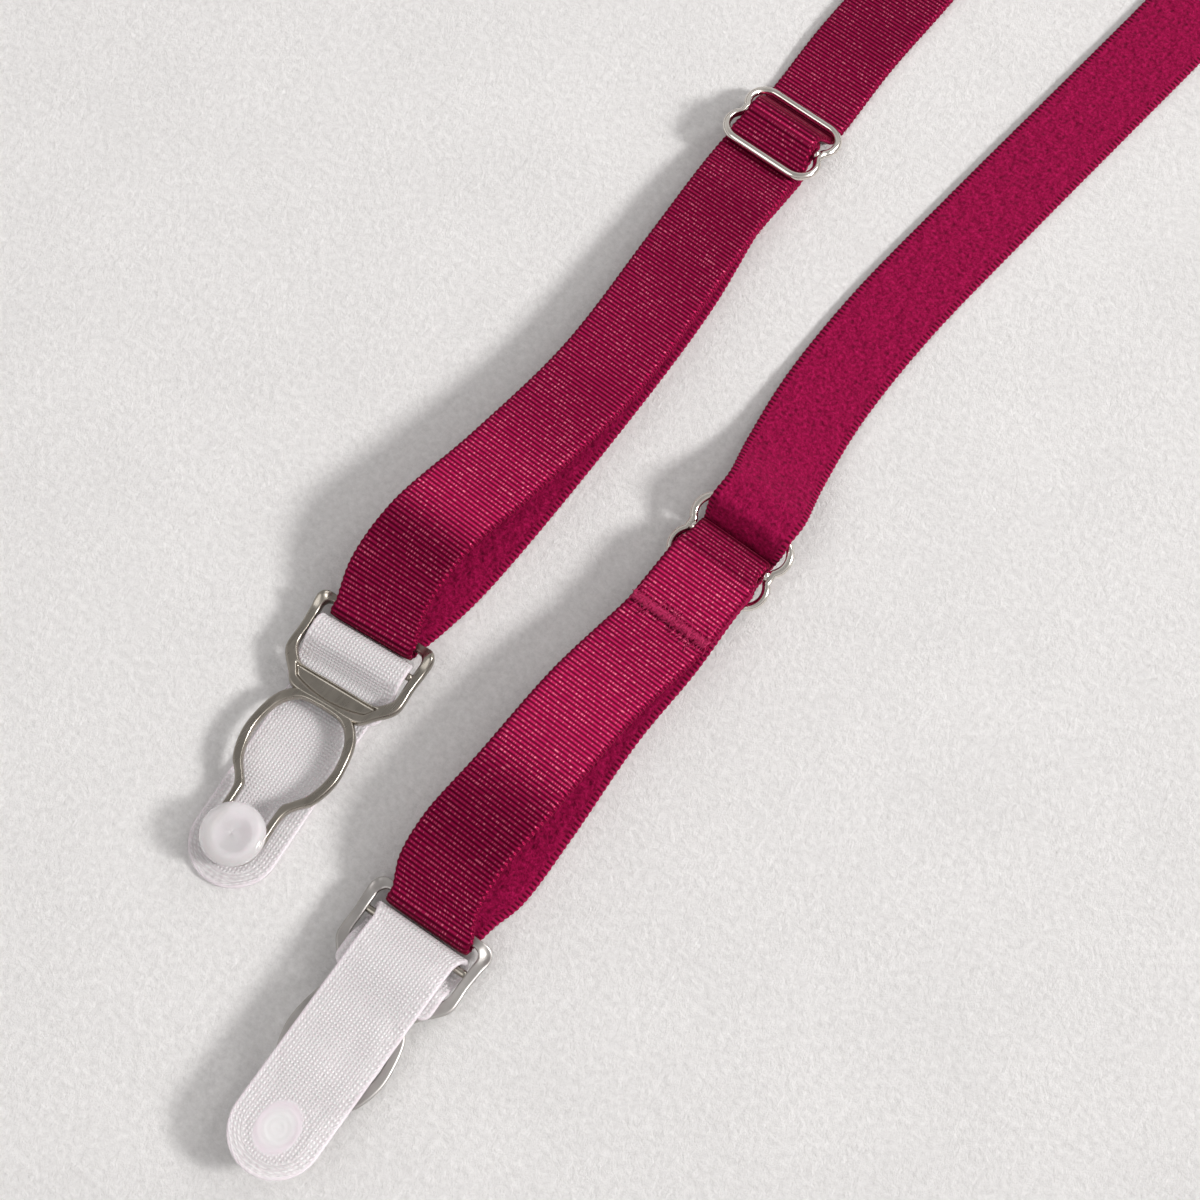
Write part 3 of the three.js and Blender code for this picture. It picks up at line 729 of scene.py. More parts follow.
def plush_height(along, a):
    """Rise of the plush back: the body times one plus the pile's noise in the middle, plus
    a cosine of whipped stitches in a row inside each edge."""
    inside = 1 / (1 + np.exp((np.abs(a) - 0.84) * 60))
    whip_row = np.exp(-((np.abs(a) - 0.925) / 0.045) ** 4)
    whip = np.cos(2 * math.pi * along / WHIP_PITCH)
    uneven = 0.14 * pile(along, a * 6) * inside
    return rounded_body(a) * (1 + uneven + 0.20 * whip * whip_row - 0.06 * whip_row)


def strap_width(along):
    """Half width with picots: a row of small teeth along both edges."""
    return web_width / 2 - 0.06 + 0.055 * np.cos(2 * math.pi * along / PICOT_PITCH)


middle_height = satin_height(np.zeros(1), np.zeros(1))[0]
print("satin face", round(middle_height, 3), "mm above the middle of the web")

# %% [markdown]
# ## From a section to a mesh
#
# A closed tube needs a lid at each end. An n-sided face would do, but it shades badly
# when it isn't flat, so a fan of triangles runs from each end's middle to its ring. The
# strap and the tab both use it.

# %% Lids and strap mesh
def end_fans(points, rows, count):
    """A middle point and a fan of triangles for the first and the last ring of a tube."""
    middles, fans = [], []
    for row, flip in ((0, True), (rows - 1, False)):
        ring = row * count + np.arange(count)
        fan = np.stack([np.full(count, len(points) + len(middles)), ring, np.roll(ring, -1)], 1)
        middles.append(points[ring].mean(0))
        fans.append(fan[:, ::-1] if flip else fan)
    return middles, np.vstack(fans)


def ribbon(name, line, knots, first, last, satin_out, pinch, step=0.137):
    """The stretch of webbing between two knots as a closed tube of rows across the line.
    A point is the line's place, moved across by a times the half width, and along the
    normal by the face's rise. Near y = pinch, where it passes the slider's middle bar, the
    web is gathered a little."""
    at, way, skew, along = resample(line, knots[first], knots[last], step)
    rows = len(at)
    a = np.concatenate([ACROSS, ACROSS[-2:0:-1]])
    is_out = np.concatenate([np.ones(len(ACROSS)), np.zeros(len(ACROSS) - 2)])
    s, aa = np.meshgrid(along, a, indexing="ij")
    out_rise = satin_height(s, aa) if satin_out else plush_height(s, aa)
    in_rise = plush_height(s, aa) if satin_out else satin_height(s, aa)
    rise = np.where(is_out > 0, out_rise, -in_rise)
    gathered = 1 - 0.105 * np.exp(-(((at[:, 1] - pinch) / 2.6) ** 4))
    side = -aa * strap_width(s) * gathered[:, None]
    x = at[:, None, 0] + side
    y = at[:, None, 1] + way[:, None, 2] * rise + side * skew[:, None]
    z = at[:, None, 2] - way[:, None, 1] * rise
    points = np.stack([x, y, z], -1).reshape(-1, 3)
    uv = np.stack([aa * 6, s], -1).reshape(-1, 2)
    count = len(a)
    quads = grid_quads(rows, count, closed_columns=True)
    face = np.tile(np.where(np.arange(count) < len(ACROSS) - 1, 0, 1), rows - 1)
    if not satin_out:
        face = 1 - face
    middles, fans = end_fans(points, rows, count)
    points = np.vstack([points, middles])
    uv = np.vstack([uv, uv[:1], uv[-1:]])
    material_index = np.concatenate([face, np.ones(len(fans))])
    obj = make_mesh(name, points, [quads, fans], [satin, plush], uv, material_index)
    return obj, along[-1] - along[0]


print("rows across a strap:", len(ACROSS), "on each face")

# %% [markdown]
# ## Laying the straps
#
# Each stretch is one piece, so that some of them can move with their own bodies. The
# whole strap could be one mesh that bends between four bodies, but the fold round the
# clip would then smear. So the weave and the sewn end ride on the slider, the fold rides
# on the clip's end of the loop, and the lead and the stretches between them stay where
# they are laid.

# %% Strap pieces
strap_lengths = {}


def lay_strap(strap, stops):
    """All stretches of one strap, each hiding the solids it stands for. The weave, the sewn end
    and the fold ride on bodies.
    """
    points, cuts = route_points(stops)
    line, rows = smooth_line(points)
    knots = {name: rows[i] for name, i in cuts.items()}
    knots["start"], knots["end"] = 0, rows[-1]
    name = strap["name"]
    satin_out = strap["up"] > 0
    first, second = ("upper", "lower") if satin_out else ("lower", "upper")
    stretches = [("lead", "start", "lead", ["top_hem", "strap_lead"]),
                 ("weave", "lead", "weave", ["slider_weave"]),
                 (first, "weave", "first", [f"loop_{first}"]),
                 ("fold", "first", "fold", ["loop_fold"]),
                 (second, "fold", "loop", [f"loop_{second}"]),
                 ("sewn", "loop", "end", ["sewn_end"])]
    sy, cy = strap["slider"][1], strap["clip"][1]
    made = {}
    for part, start, end, nodes in stretches:
        obj, length = ribbon(f"{name}_web_{part}", line, knots, start, end, satin_out, sy)
        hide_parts(*[f"{name}_{node}" for node in nodes])
        made[part] = obj
        strap_lengths[name, part] = length

    def place(y):
        return (0.0, (y + SHIFT[1]) * MM, 0.0)

    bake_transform(made["lead"])
    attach(made["weave"], f"{name}_adjuster")
    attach(made["sewn"], f"{name}_adjuster")
    start, end = place(sy - sewn_reach - 2), place(cy + 4)
    for part in ("upper", "lower"):
        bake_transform(made[part])
    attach(made["fold"], f"{name}_loop_end")
    for part in ("lead", "upper", "lower", "sewn", "weave"):
        length = strap_lengths[name, part]


lay_strap(LEFT, left_stops())
lay_strap(RIGHT, right_stops())
print("lengths in mm:", {key: round(value, 1) for key, value in strap_lengths.items()})

# %% [markdown]
# ## Swept wire
#
# The slider is bent from round wire, the clip's middle bar is round, and so are the
# threads. A Blender curve with a bevel could do it, but its ends and its count of faces
# are harder to control. One helper carries a round section along any line instead.

# %% Round section carried along a path
def sweep(path, radius, sides=16, closed=False):
    """Points of a tube: the path plus radius times cosine of a side direction and sine of
    an upward one, both square to the path. Returns points and quads."""
    path = np.asarray(path, float)
    way = np.roll(path, -1, 0) - np.roll(path, 1, 0)
    if not closed:
        way[0], way[-1] = path[1] - path[0], path[-1] - path[-2]
    way /= np.linalg.norm(way, axis=1, keepdims=True)
    side = np.cross(way, [0.0, 0.0, 1.0])
    side /= np.maximum(np.linalg.norm(side, axis=1, keepdims=True), 1e-9)
    rise = np.cross(side, way)
    angle = np.linspace(0, 2 * math.pi, sides, endpoint=False)
    radius = np.broadcast_to(radius, (len(path),))[:, None, None]
    ring = side[:, None] * np.cos(angle)[None, :, None] + rise[:, None] * np.sin(angle)[None, :, None]
    points = (path[:, None] + radius * ring).reshape(-1, 3)
    quads = grid_quads(len(path), sides, closed_rows=closed, closed_columns=True)
    faces = [quads]
    if not closed:
        first = np.arange(sides)[::-1]
        last = (len(path) - 1) * sides + np.arange(sides)
        faces += [first[None], last[None]]
    return points, faces


rod, rod_faces = sweep([(0, 0, 0), (1, 0, 0), (2, 0, 0)], 0.5)
print("a straight rod has", len(rod), "points and", sum(map(len, rod_faces)), "faces")


# %% Several shells as one object
def gather(name, shells, materials, face_material=None):
    """One object from several closed shells of points and faces."""
    points, faces, base = [], [], 0
    for shell_points, shell_faces in shells:
        points.append(shell_points)
        faces += [f + base for f in shell_faces]
        base += len(shell_points)
    return make_mesh(name, np.vstack(points), faces, materials, None, face_material)


print("sweep makes one shell, and", gather.__name__, "joins several into one object")

# %% [markdown]
# ## Sliders
#
# One wire is bent into a rounded frame that dips in at a waist, and the middle bar is
# welded across the waist. Two rings side by side would look like two parts, so the frame
# is one closed line of arcs, swept as one tube. The bar swells a little at its ends, as a
# weld does. The slider leans, because the strap lifts one side of it.

# %% Slider wire
waist_dip, bar_short = 0.75, 1.0


def corner(x, y, r, start, end, count=14):
    """An arc of a circle from one angle to another, both in degrees."""
    angle = np.radians(np.linspace(start, end, count))
    return np.stack([x + r * np.cos(angle), y + r * np.sin(angle)], 1)


def slider_outline():
    """The wire's middle line: each loop has round ends, and the two meet in a waist."""
    r = bar_spacing / 2
    side = slider_width / 2 - wire_radius
    waist = math.degrees(math.acos(1 - waist_dip / r))
    right = np.vstack([corner(side - r, r, r, 90, -waist), corner(side - r, -r, r, waist, -90)])
    bar_x = np.linspace(-(side - r) + 0.6, side - r - 0.6, 12)
    lower = np.column_stack([bar_x[::-1], np.full(12, -bar_spacing)])
    upper = np.column_stack([bar_x, np.full(12, bar_spacing)])
    return np.vstack([right, lower, right[::-1] * [-1, 1], upper])


def make_slider(strap):
    """The frame and its middle bar, leaned about the bar and put where the strap passes."""
    _, _, middle, tilt, _ = slider_heights(strap)
    outline = slider_outline()
    waist = slider_width / 2 - wire_radius - bar_short
    ring = np.column_stack([outline, np.zeros(len(outline))])
    bar_x = np.linspace(-waist, waist, 24)
    weld = 0.16 * np.exp(-(((waist - np.abs(bar_x)) / 0.5) ** 2))
    bar = np.column_stack([bar_x, np.zeros(24), np.zeros(24)])
    shells = [sweep(ring, wire_radius, 18, closed=True), sweep(bar, wire_radius + weld, 18)]
    turn = np.array([[1, 0, 0], [0, math.cos(tilt), -math.sin(tilt)], [0, math.sin(tilt), math.cos(tilt)]])
    place = np.array([*strap["slider"], middle])
    shells = [(p @ turn.T + place, f) for p, f in shells]
    obj = gather(f"{strap['name']}_wire_slider", shells, [bright_nickel])
    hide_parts(f"{strap['name']}_slider")
    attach(obj, f"{strap['name']}_adjuster")


for strap in (LEFT, RIGHT):
    make_slider(strap)
print("slider outline:", len(slider_outline()), "places")

# %% [markdown]
# ## Clip frames
#
# A clip is pressed from one sheet: its edges are rounded, its top corners curl up, and
# the plate between the window and the keyhole is sunk. Cutting holes with booleans would
# leave hard edges and poor shading. So it is built as two rings, one round the window and
# one round the keyhole, that run into each other at the plate. Each ring lies between an
# inner and an outer outline, and its rise is rounded near both edges, lifted at the curls
# and lowered inside the sunk plate.

# %% Clip's own frame
def clip_place(strap, points):
    """From the clip's frame (x across, -y down to the button, z out of its front) to the
    straps' frame: turned over about y if the clip lies face down, then turned by its yaw."""
    points = np.asarray(points, float).copy()
    if strap["up"] < 0:
        points[:, 0] *= -1
        points[:, 2] *= -1
    c, s = math.cos(strap["yaw"]), math.sin(strap["yaw"])
    x, y = points[:, 0] * c - points[:, 1] * s, points[:, 0] * s + points[:, 1] * c
    base = clip_height if strap["up"] < 0 else 0.0
    return np.column_stack([x + strap["clip"][0], y + strap["clip"][1], points[:, 2] + base])


print("left button at", clip_place(LEFT, [[0, -button_drop, 0]])[0].round(1), "mm")


# %% Rings of pressed sheet
def through(points, per_span=10):
    """A smooth line through 2-D points, from the first one to the last."""
    flat_points = np.column_stack([points, np.zeros((len(points), 2))])
    return smooth_line(flat_points, per_span)[0][:, :2]


def plate_sunk(x, y):
    """How far a place lies in the sunk plate: 0 outside its edges, and 1 from a third of a
    millimetre inside them. The window's edge is straight, the sides slant inwards on the
    way down, and the lower edge curves a little with the keyhole."""
    slant = (6.35 - np.abs(x) + (y + plate_top) * 0.72) / math.hypot(1, 0.72)
    inside = np.minimum(np.minimum(-plate_top - 0.20 - y, y + oval_top - 0.95 - 0.035 * x * x), slant)
    share = np.clip(inside / 0.32, 0, 1)
    return share * share * (3 - 2 * share)


def curl_lift(x, y):
    """Rise of the two curled top corners: a bell in both directions round each corner."""
    return 0.75 * np.exp(-(((np.abs(x) - 8.1) / 1.0) ** 2) - ((y + 0.4) / 1.3) ** 2)


def ring_shell(inner, outer, base, thick, recess, curled, across=29):
    """A closed ring between two outlines with the same count of points. At share q from
    the inner to the outer outline, the front rises as a small quarter round near each edge
    and drops by the recess inside the sunk plate. The back is flat with small round
    edges. Returns points, outward quads, and 0 for a front face or 1 for a back one."""
    q = (1 - np.cos(np.linspace(0, math.pi, across))) / 2
    width = np.linalg.norm(outer - inner, axis=1)[:, None]
    flat = inner[:, None] * (1 - q[None, :, None]) + outer[:, None] * q[None, :, None]
    edge = np.minimum(q, 1 - q)[None] * width
    round_up = np.clip(1 - (1 - np.clip(edge / 0.34, 0, 1)) ** 2, 0, 1) ** 0.5
    sunk = plate_sunk(flat[..., 0], flat[..., 1])
    rim = base + thick * (0.35 + 0.65 * round_up) - recess * sunk
    back = base + 0.22 * thick * (1 - np.sqrt(np.clip(1 - (1 - np.clip(edge / 0.3, 0, 1)) ** 2, 0, 1)))
    if curled:
        raised = curl_lift(flat[..., 0], flat[..., 1])
        rim, back = rim + raised, back + raised
    front = np.concatenate([flat, rim[..., None]], -1)
    rear = np.concatenate([flat, back[..., None]], -1)[:, ::-1]
    loop = np.concatenate([front, rear], 1)
    rows, columns = loop.shape[:2]
    quads = grid_quads(rows, columns, closed_rows=True, closed_columns=True)
    kind = np.tile(np.where(np.arange(columns) < across - 1, 0, 1), rows)
    kind = np.where(np.tile(np.arange(columns) == columns - 1, rows), 0, kind)
    return loop.reshape(-1, 3), quads[:, ::-1], kind


print("the plate is sunk", plate_drop, "mm of the sheet's", frame_thick, "mm")

# %% [markdown]
# ## Outlines of the clip
#
# An outline is a smooth curve through a few places, from the middle of its top down the
# right side, and it is mirrored to the left. The clip could be traced closely, but few
# places give cleaner curves. The x runs to the right and the second number down from the
# top bar. An inner and an outer outline need the same count of places.

# %% Outlines of the clip
slot_out = slot_half + slot_rim


def both_sides(half_points):
    """A closed outline from its right half, top to bottom."""
    right = through(np.asarray(half_points, float))
    left = right[::-1] * [-1, 1]
    return np.vstack([right, left[1:-1]])


def end_arc(radius, count=7):
    """The slot's round lower end, as a quarter circle from its side to its lowest point."""
    angle = np.radians(np.linspace(0, 90, count))
    return [(radius * math.cos(t), button_drop + radius * math.sin(t)) for t in angle]


keyhole_in = [(0, oval_top), (2.9, oval_top + 0.35), (4.6, 14.7), (oval_half, oval_drop - 1.6),
              (oval_half, oval_drop + 0.6), (4.7, oval_drop + 3.6), (3.5, kink_drop - 1.0),
              (slot_half + 0.15, kink_drop), (slot_half, kink_drop + 1.4), *end_arc(slot_half)]
keyhole_out = [(0, oval_top - 1.15), (3.6, oval_top - 0.95), (oval_half + 0.3, 14.0),
               (oval_half + arm, oval_drop - 1.4), (oval_half + arm, oval_drop + 1.2),
               (oval_half + 0.3, oval_drop + 4.3), (4.6, kink_drop - 0.5),
               (slot_out + 0.25, kink_drop + 0.5), (slot_out, kink_drop + 1.6), *end_arc(slot_out)]
window_in = [(0, 0.6), (4.5, 0.6), (6.6, 0.65), (7.2, 1.3), (7.22, 2.6), (7.15, 4.8), (7.1, 7.2),
             (6.6, 8.1), (5.5, 9.1), (5.0, 9.2), (0, 9.2)]
window_out = [(0, -0.6), (5.9, -0.6), (7.9, -0.4), (8.65, 0.6), (8.62, 2.4), (8.45, 4.9), (8.45, 8.0),
              (8.05, 9.0), (6.4, 10.8), (4.9, 12.3), (0, 12.5)]
print("places in half an outline:", len(window_in), "at the window,", len(keyhole_in), "at the keyhole")


# %% Clip frames
def make_clip_frame(strap):
    """The window's ring, the keyhole's ring a hair lower, and the round middle bar."""
    down = np.array([1, -1])
    kinds, shells = [], []
    for inner, outer, base, recess, curled in ((window_in, window_out, frame_base, plate_drop, True),
                                               (keyhole_in, keyhole_out, frame_base - 0.02, 0.0, False)):
        inner, outer = both_sides(inner) * down, both_sides(outer) * down
        points, quads, kind = ring_shell(inner, outer, base, frame_thick, recess, curled)
        shells.append((clip_place(strap, points), [quads]))
        kinds.append(kind)
    bar_x = np.linspace(-7.4, 7.4, 30)
    bar = np.column_stack([bar_x, np.full(30, -mid_bar_drop), np.full(30, bar_height)])
    points, faces = sweep(bar, mid_bar_width / 2, 14)
    shells.append((clip_place(strap, points), faces))
    kinds.append(np.zeros(sum(map(len, faces))))
    name = strap["name"]
    obj = gather(f"{name}_metal_clip", shells, [clip_nickel, dull_nickel], np.concatenate(kinds))
    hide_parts(f"{name}_clip_frame")
    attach(obj, f"{name}_clip")


for strap in (LEFT, RIGHT):
    make_clip_frame(strap)
print("clips are", round(clip_height, 2), "mm high with their buttons")

# %% [markdown]
# ## Tabs
#
# The tab is one moulded strip. Its tail lies between the strip and the plate, the strip
# goes round the clip's middle bar, runs down behind the clip and ends round under the
# button. A flat strip bent by a modifier could do it, but its relief would stretch in the
# bend. So the strip is laid along a route like a strap, and its relief is a function of
# the place on the strip: fine cross ribs in the middle, a band of slanting bumps along
# the edge, and faint rings round the button with a dimple behind it.

# %% Route and outline of the tab
ear = 1.4


def tab_stops(button_up):
    """From the tail's end, over and round the middle bar, to the round end past the button."""
    wrap = math.hypot(mid_bar_width, frame_thick) / 2 + gap / 2 + tab_thick / 2
    tail = tab_thick + gap / 2 + tab_thick / 2
    front = bar_height + wrap
    return [point(0, -tail_end, tail), point(0, -mid_bar_drop - 5.2, tail),
            point(0, -mid_bar_drop - 4.0, tail + 0.05), point(0, -mid_bar_drop - 3.0, front - 1.5),
            point(0, -mid_bar_drop - 1.8, front - 0.3), post(0, -mid_bar_drop, bar_height, -wrap),
            point(0, -mid_bar_drop - 3.4, tab_thick / 2), point(0, -mid_bar_drop - 9.0, tab_thick / 2),
            point(0, -20.0, tab_thick / 2), point(0, -30.0, tab_thick / 2),
            point(0, -(button_drop + tab_end_reach) + button_up, tab_thick / 2)]


def tab_width(along):
    """Half width: wide at the tail, narrower past the bar, rounded like a quarter circle at
    the tail's ears and like a half circle at the far end."""
    into_tail = np.clip(1 - along / ear, 0, 1)
    into_end = np.clip(1 - (along[-1] - along) / tab_half, 0, 1)
    narrow = np.clip((along - 9.0) / 4.0, 0, 1)
    width = tail_half + (tab_half - tail_half) * narrow * narrow * (3 - 2 * narrow)
    width = width - ear * (1 - np.sqrt(np.clip(1 - into_tail**2, 0, 1)))
    return np.maximum(width * np.sqrt(np.clip(1 - into_end**2, 0, 1)), 0.02)


print("half width of the tab from", tab_half, "to", tail_half, "mm")


# %% Relief of the tab
def edge_distance(s, aa, side, width, total):
    """Distance to the nearest side or end, and to the half circle at the far end."""
    edge = np.minimum((1 - np.abs(aa)) * width[:, None], np.minimum(s, total - s))
    curve = tab_half - np.hypot(side, s - (total - tab_half))
    return np.where(s > total - tab_half, np.maximum(curve, 0.0), edge)


def tab_rise(s, side, edge, button_s, is_out):
    """Half thickness plus relief, times a rounding near the edge, less the back's dimple."""
    rim = np.sqrt(np.clip(1 - (1 - np.clip(edge / 0.3, 0, 1)) ** 2, 0, 1))
    band = np.clip((1.75 - edge) / 0.25, 0, 1)
    slant = np.cos(2 * math.pi * (s + np.abs(side) * 0.9) / 0.72) * np.cos(2 * math.pi * edge / 0.6)
    ribs = np.cos(2 * math.pi * s / 0.43) * (1 - band)
    radius = np.hypot(side, (s - button_s))
    near = np.clip((4.6 - radius) / 0.6, 0, 1)
    rings = np.cos(2 * math.pi * radius / 0.8) * near
    texture = (0.075 * slant * band + 0.045 * ribs) * (1 - near) + 0.03 * rings
    dimple = 0.16 * np.clip(1 - (side / 2.6) ** 2 - ((s - button_s) / 1.7) ** 2, 0, 1)
    rise = (tab_thick / 2 + texture) * rim - dimple * (is_out < 0)
    return rise * is_out[None]


print("the tab is", tab_thick, "mm thick")


# %% Tabs
def make_tab(strap):
    """The strip as a closed tube of rows, with its two maps."""
    name, up = strap["name"], strap["button_up"]
    points, _ = route_points(tab_stops(up))
    line, rows = smooth_line(points)
    at, way, _, along = resample(line, 0, rows[-1], 0.12)
    total = along[-1]
    width = tab_width(along)
    across = crowded(71, 0.9)
    a = np.concatenate([across, across[-2:0:-1]])
    is_out = np.concatenate([np.ones(len(across)), -np.ones(len(across) - 2)])
    s, aa = np.meshgrid(along, a, indexing="ij")
    side = aa * width[:, None]
    edge = edge_distance(s, aa, side, width, total)
    button_s = total - tab_end_reach
    rise = tab_rise(s, side, edge, button_s, is_out)
    x = at[:, None, 0] - side
    y = at[:, None, 1] + way[:, None, 2] * rise
    z = at[:, None, 2] - way[:, None, 1] * rise
    points = clip_place(strap, np.stack([x, y, z], -1).reshape(-1, 3))
    uv = np.stack([side, s], -1).reshape(-1, 2)
    rim_map = np.stack([edge, np.hypot(side, (s - button_s) * 0.8)], -1).reshape(-1, 2)
    quads = grid_quads(len(at), len(a), closed_columns=True)
    middles, fans = end_fans(points, len(at), len(a))
    points = np.vstack([points, middles])
    uv = np.vstack([uv, uv[:1], uv[-1:]])
    rim_map = np.vstack([rim_map, rim_map[:1], rim_map[-1:]])
    obj = make_mesh(f"{name}_tab", points, [quads, fans], [mesh_rubber], uv, rim=rim_map)
    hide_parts(f"{name}_tab_fold", f"{name}_tab_tongue", f"{name}_tab_end")
    start = (clip_place(strap, [[0, -8.5, 0]])[0] + SHIFT) * MM
    end = (clip_place(strap, [[0, -(button_drop - 8.0 - up), 0]])[0] + SHIFT) * MM
    start[2] = end[2] = 0.0
    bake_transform(obj)


for strap in (LEFT, RIGHT):
    make_tab(strap)

# %% [markdown]
# ## Buttons
#
# A button is round: a stem, an undercut and a head that is dished on top. A shallow
# swirl from the mould shows on the dish. Blender's Spin would turn the profile, but a
# grid of radius and angle takes the swirl as one more term of its height.

# %% Profile of the button
def button_profile():
    """Radius and height from the stem's foot, out under the head, over its rim to the crown."""
    foot, rim = tab_thick + 0.02, head_base + head_thick
    places = np.array([(0, foot), (stem_radius, foot), (stem_radius - 0.1, foot + 0.6),
                       (stem_radius, head_base), (head_radius - 0.45, head_base),
                       (head_radius - 0.05, head_base + 0.3), (head_radius, head_base + 0.6),
                       (head_radius - 0.18, head_base + 1.05),
                       (head_radius - 0.75, rim - 0.12), (head_radius - 1.4, rim),
                       (head_radius - 2.2, rim - 0.06), (head_radius - 3.1, rim - 0.16), (0, rim - 0.20)])
    smooth = through(places, 6)
    smooth[:, 0] = np.maximum(smooth[:, 0], 0)
    return smooth


print("button profile:", len(button_profile()), "places, head", 2 * head_radius, "mm across")


# %% Buttons
def make_button(strap, turns=72):
    """The profile turned about its axis, with a swirl on the dish, closed at foot and crown."""
    smooth = button_profile()
    angle = np.linspace(0, 2 * math.pi, turns, endpoint=False)
    inner = smooth[1:-1]
    r, t = np.meshgrid(inner[:, 0], angle, indexing="ij")
    z = np.repeat(inner[:, 1][:, None], turns, 1)
    swirl = 0.05 * np.cos(t * 2 + r * 1.6) * np.clip(1 - r / 3.0, 0, 1) * (z > head_base + 0.8)
    y = r * np.sin(t) - button_drop + strap["button_up"]
    points = np.stack([r * np.cos(t), y, z + swirl], -1).reshape(-1, 3)
    foot = [0, -button_drop + strap["button_up"], smooth[0, 1]]
    crown = [0, -button_drop + strap["button_up"], smooth[-1, 1]]
    quads = grid_quads(len(inner), turns, closed_columns=True)
    ring, last = np.arange(turns), (len(inner) - 1) * turns + np.arange(turns)
    foot_fan = np.stack([np.full(turns, len(points)), np.roll(ring, -1), ring], 1)
    crown_fan = np.stack([np.full(turns, len(points) + 1), last, np.roll(last, -1)], 1)
    points = clip_place(strap, np.vstack([points, foot, crown]))
    obj = make_mesh(f"{strap['name']}_moulded_button", points, [quads, foot_fan, crown_fan], [clear_rubber])
    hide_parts(f"{strap['name']}_button")
    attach(obj, f"{strap['name']}_catch")


for strap in (LEFT, RIGHT):
    make_button(strap)

# %% [markdown]
# ## Bar tacks and frayed threads
#
# Zigzag stitching holds the raw end of each strap and the hem at the garment. The raw
# end frays, so loose fibres stand out of it. A hair system could make the fibres, but it
# doesn't export. So both the stitches and the fibres are swept tubes, and the fibres are
# kept above the table.

# %% Line of a zigzag
def zigzag(width, length, pitch, height):
    """A stitched line: it swings across its length while it steps over the web's width."""
    count = int(width / pitch)
    k = np.arange(count * 4 + 1) / 4
    swing = np.abs((k % 2) - 1) * 2 - 1
    rise = height * (1 - np.abs(swing) ** 4)
    return np.column_stack([k * pitch - width / 2, swing * length / 2, rise])


print("a zigzag over 11 mm has", len(zigzag(11.0, 1.2, 0.30, 0.16)), "places")


# %% Tacks
thread_radius, fibre_radius, fibre_count, table_gap = 0.15, 0.045, 240, 0.08


def make_tack(name, node, body, centre, down, width):
    """Three passes of zigzag thread on a face of the webbing at a centre, up or down from
    it, and fibres: each is a start plus a direction times k plus a bend times k squared."""
    shells = []
    sign = -1 if down else 1
    for shift, pitch in ((0.0, 0.30), (0.15, 0.37), (0.05, 0.47)):
        path = zigzag(width, tack_width - 0.2, pitch, 0.16)
        path[:, 0] += shift
        path[:, 2] *= sign
        shells.append(sweep(path + np.array(centre), thread_radius, 6))
    rng = np.random.default_rng(len(name))
    for _ in range(fibre_count):
        x = rng.uniform(-width / 2, width / 2)
        start = np.array([x, rng.uniform(-0.6, 0.6), 0.0])
        way = rng.normal(size=3) * [0.5, 0.8, 0.30]
        way[2] = abs(way[2]) * sign
        bend = rng.normal(size=3) * 0.25
        k = np.linspace(0, 1, 6)[:, None]
        path = start + way * k + bend * k * k + np.array(centre)
        path[:, 2] = np.maximum(path[:, 2], table_gap)
        shells.append(sweep(path, fibre_radius, 4))
    obj = gather(name, shells, [thread])
    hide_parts(node)
    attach(obj, body)


for strap in (LEFT, RIGHT):
    name, up = strap["name"], strap["up"]
    sx, sy = strap["slider"]
    end_place = (sx, sy - sewn_reach - tack_width / 2, strap["sewn"] - up * (half + 0.05))
    make_tack(f"{name}_end_stitches", f"{name}_bar_tack", f"{name}_adjuster", end_place, up > 0, 11.4)
    hem_place = (strap["hem"], garment_y - hem_length + tack_width, half + 2 * hem_radius + half + 0.05)
    make_tack(f"{name}_hem_stitches", f"{name}_hem_tack", "straps", hem_place, False, 11.0)

# %% [markdown]
# ## Floor
#
# The pair lies on a plain pale felt. Real fibres would take millions of faces, and the
# felt isn't part of the object. So it is one staged square with a fine noise for its
# fibres and a coarse one for its uneven tone.

# %% Felt floor
def felt_material():
    """Colour and bump from a fine noise, times a slow change of tone."""
    material, tree, shader, add = new_material("pale_felt")
    coords = add("ShaderNodeTexCoord").outputs["Object"]
    fibre = add("ShaderNodeTexNoise", Vector=coords, Scale=1100.0, Detail=10.0, Roughness=0.80)
    cloud = add("ShaderNodeTexNoise", Vector=coords, Scale=60.0, Detail=4.0)
    colour = ramp(add, fibre.outputs["Fac"], (0.34, (0.790, 0.780, 0.773)), (0.66, (1.0, 0.990, 0.985)))
    tone = ramp(add, cloud.outputs["Fac"], (0.3, (0.96, 0.96, 0.96)), (0.7, (1.0, 1.0, 1.0)))
    tree.links.new(multiplied(add, colour, tone), shader.inputs["Base Color"])
    shader.inputs["Roughness"].default_value = 1.0
    shader.inputs["Specular IOR Level"].default_value = 0.1
    bump(add, shader, tree, fibre.outputs["Fac"], 0.00060, 0.9)
    return material


side = 900.0
corners = np.array([[-side, -side, 0], [side, -side, 0], [side, side, 0], [-side, side, 0]]) - SHIFT
floor = make_mesh("floor", corners, [np.array([[0, 1, 2, 3]])], [felt_material()], smooth=False)
print("felt square:", 2 * side, "mm wide")

# %% [markdown]
# ## Light and camera
#
# A sun lamp would give hard shadows. The key is a disk of light far away on the right,
# as seen in the view: its distance keeps the felt evenly bright, and its size sets how
# soft the shadows are. A weak second disk stands beyond the table, where its reflection
# runs along the metal, and a weak fill on the left opens the shadows. A pale surround
# does the rest: its brightness depends on height, so that metal has something to
# reflect. The camera looks down from the near edge of the table.

# %% Places in the view's table frame
VIEW_TURN = math.radians(52.5)


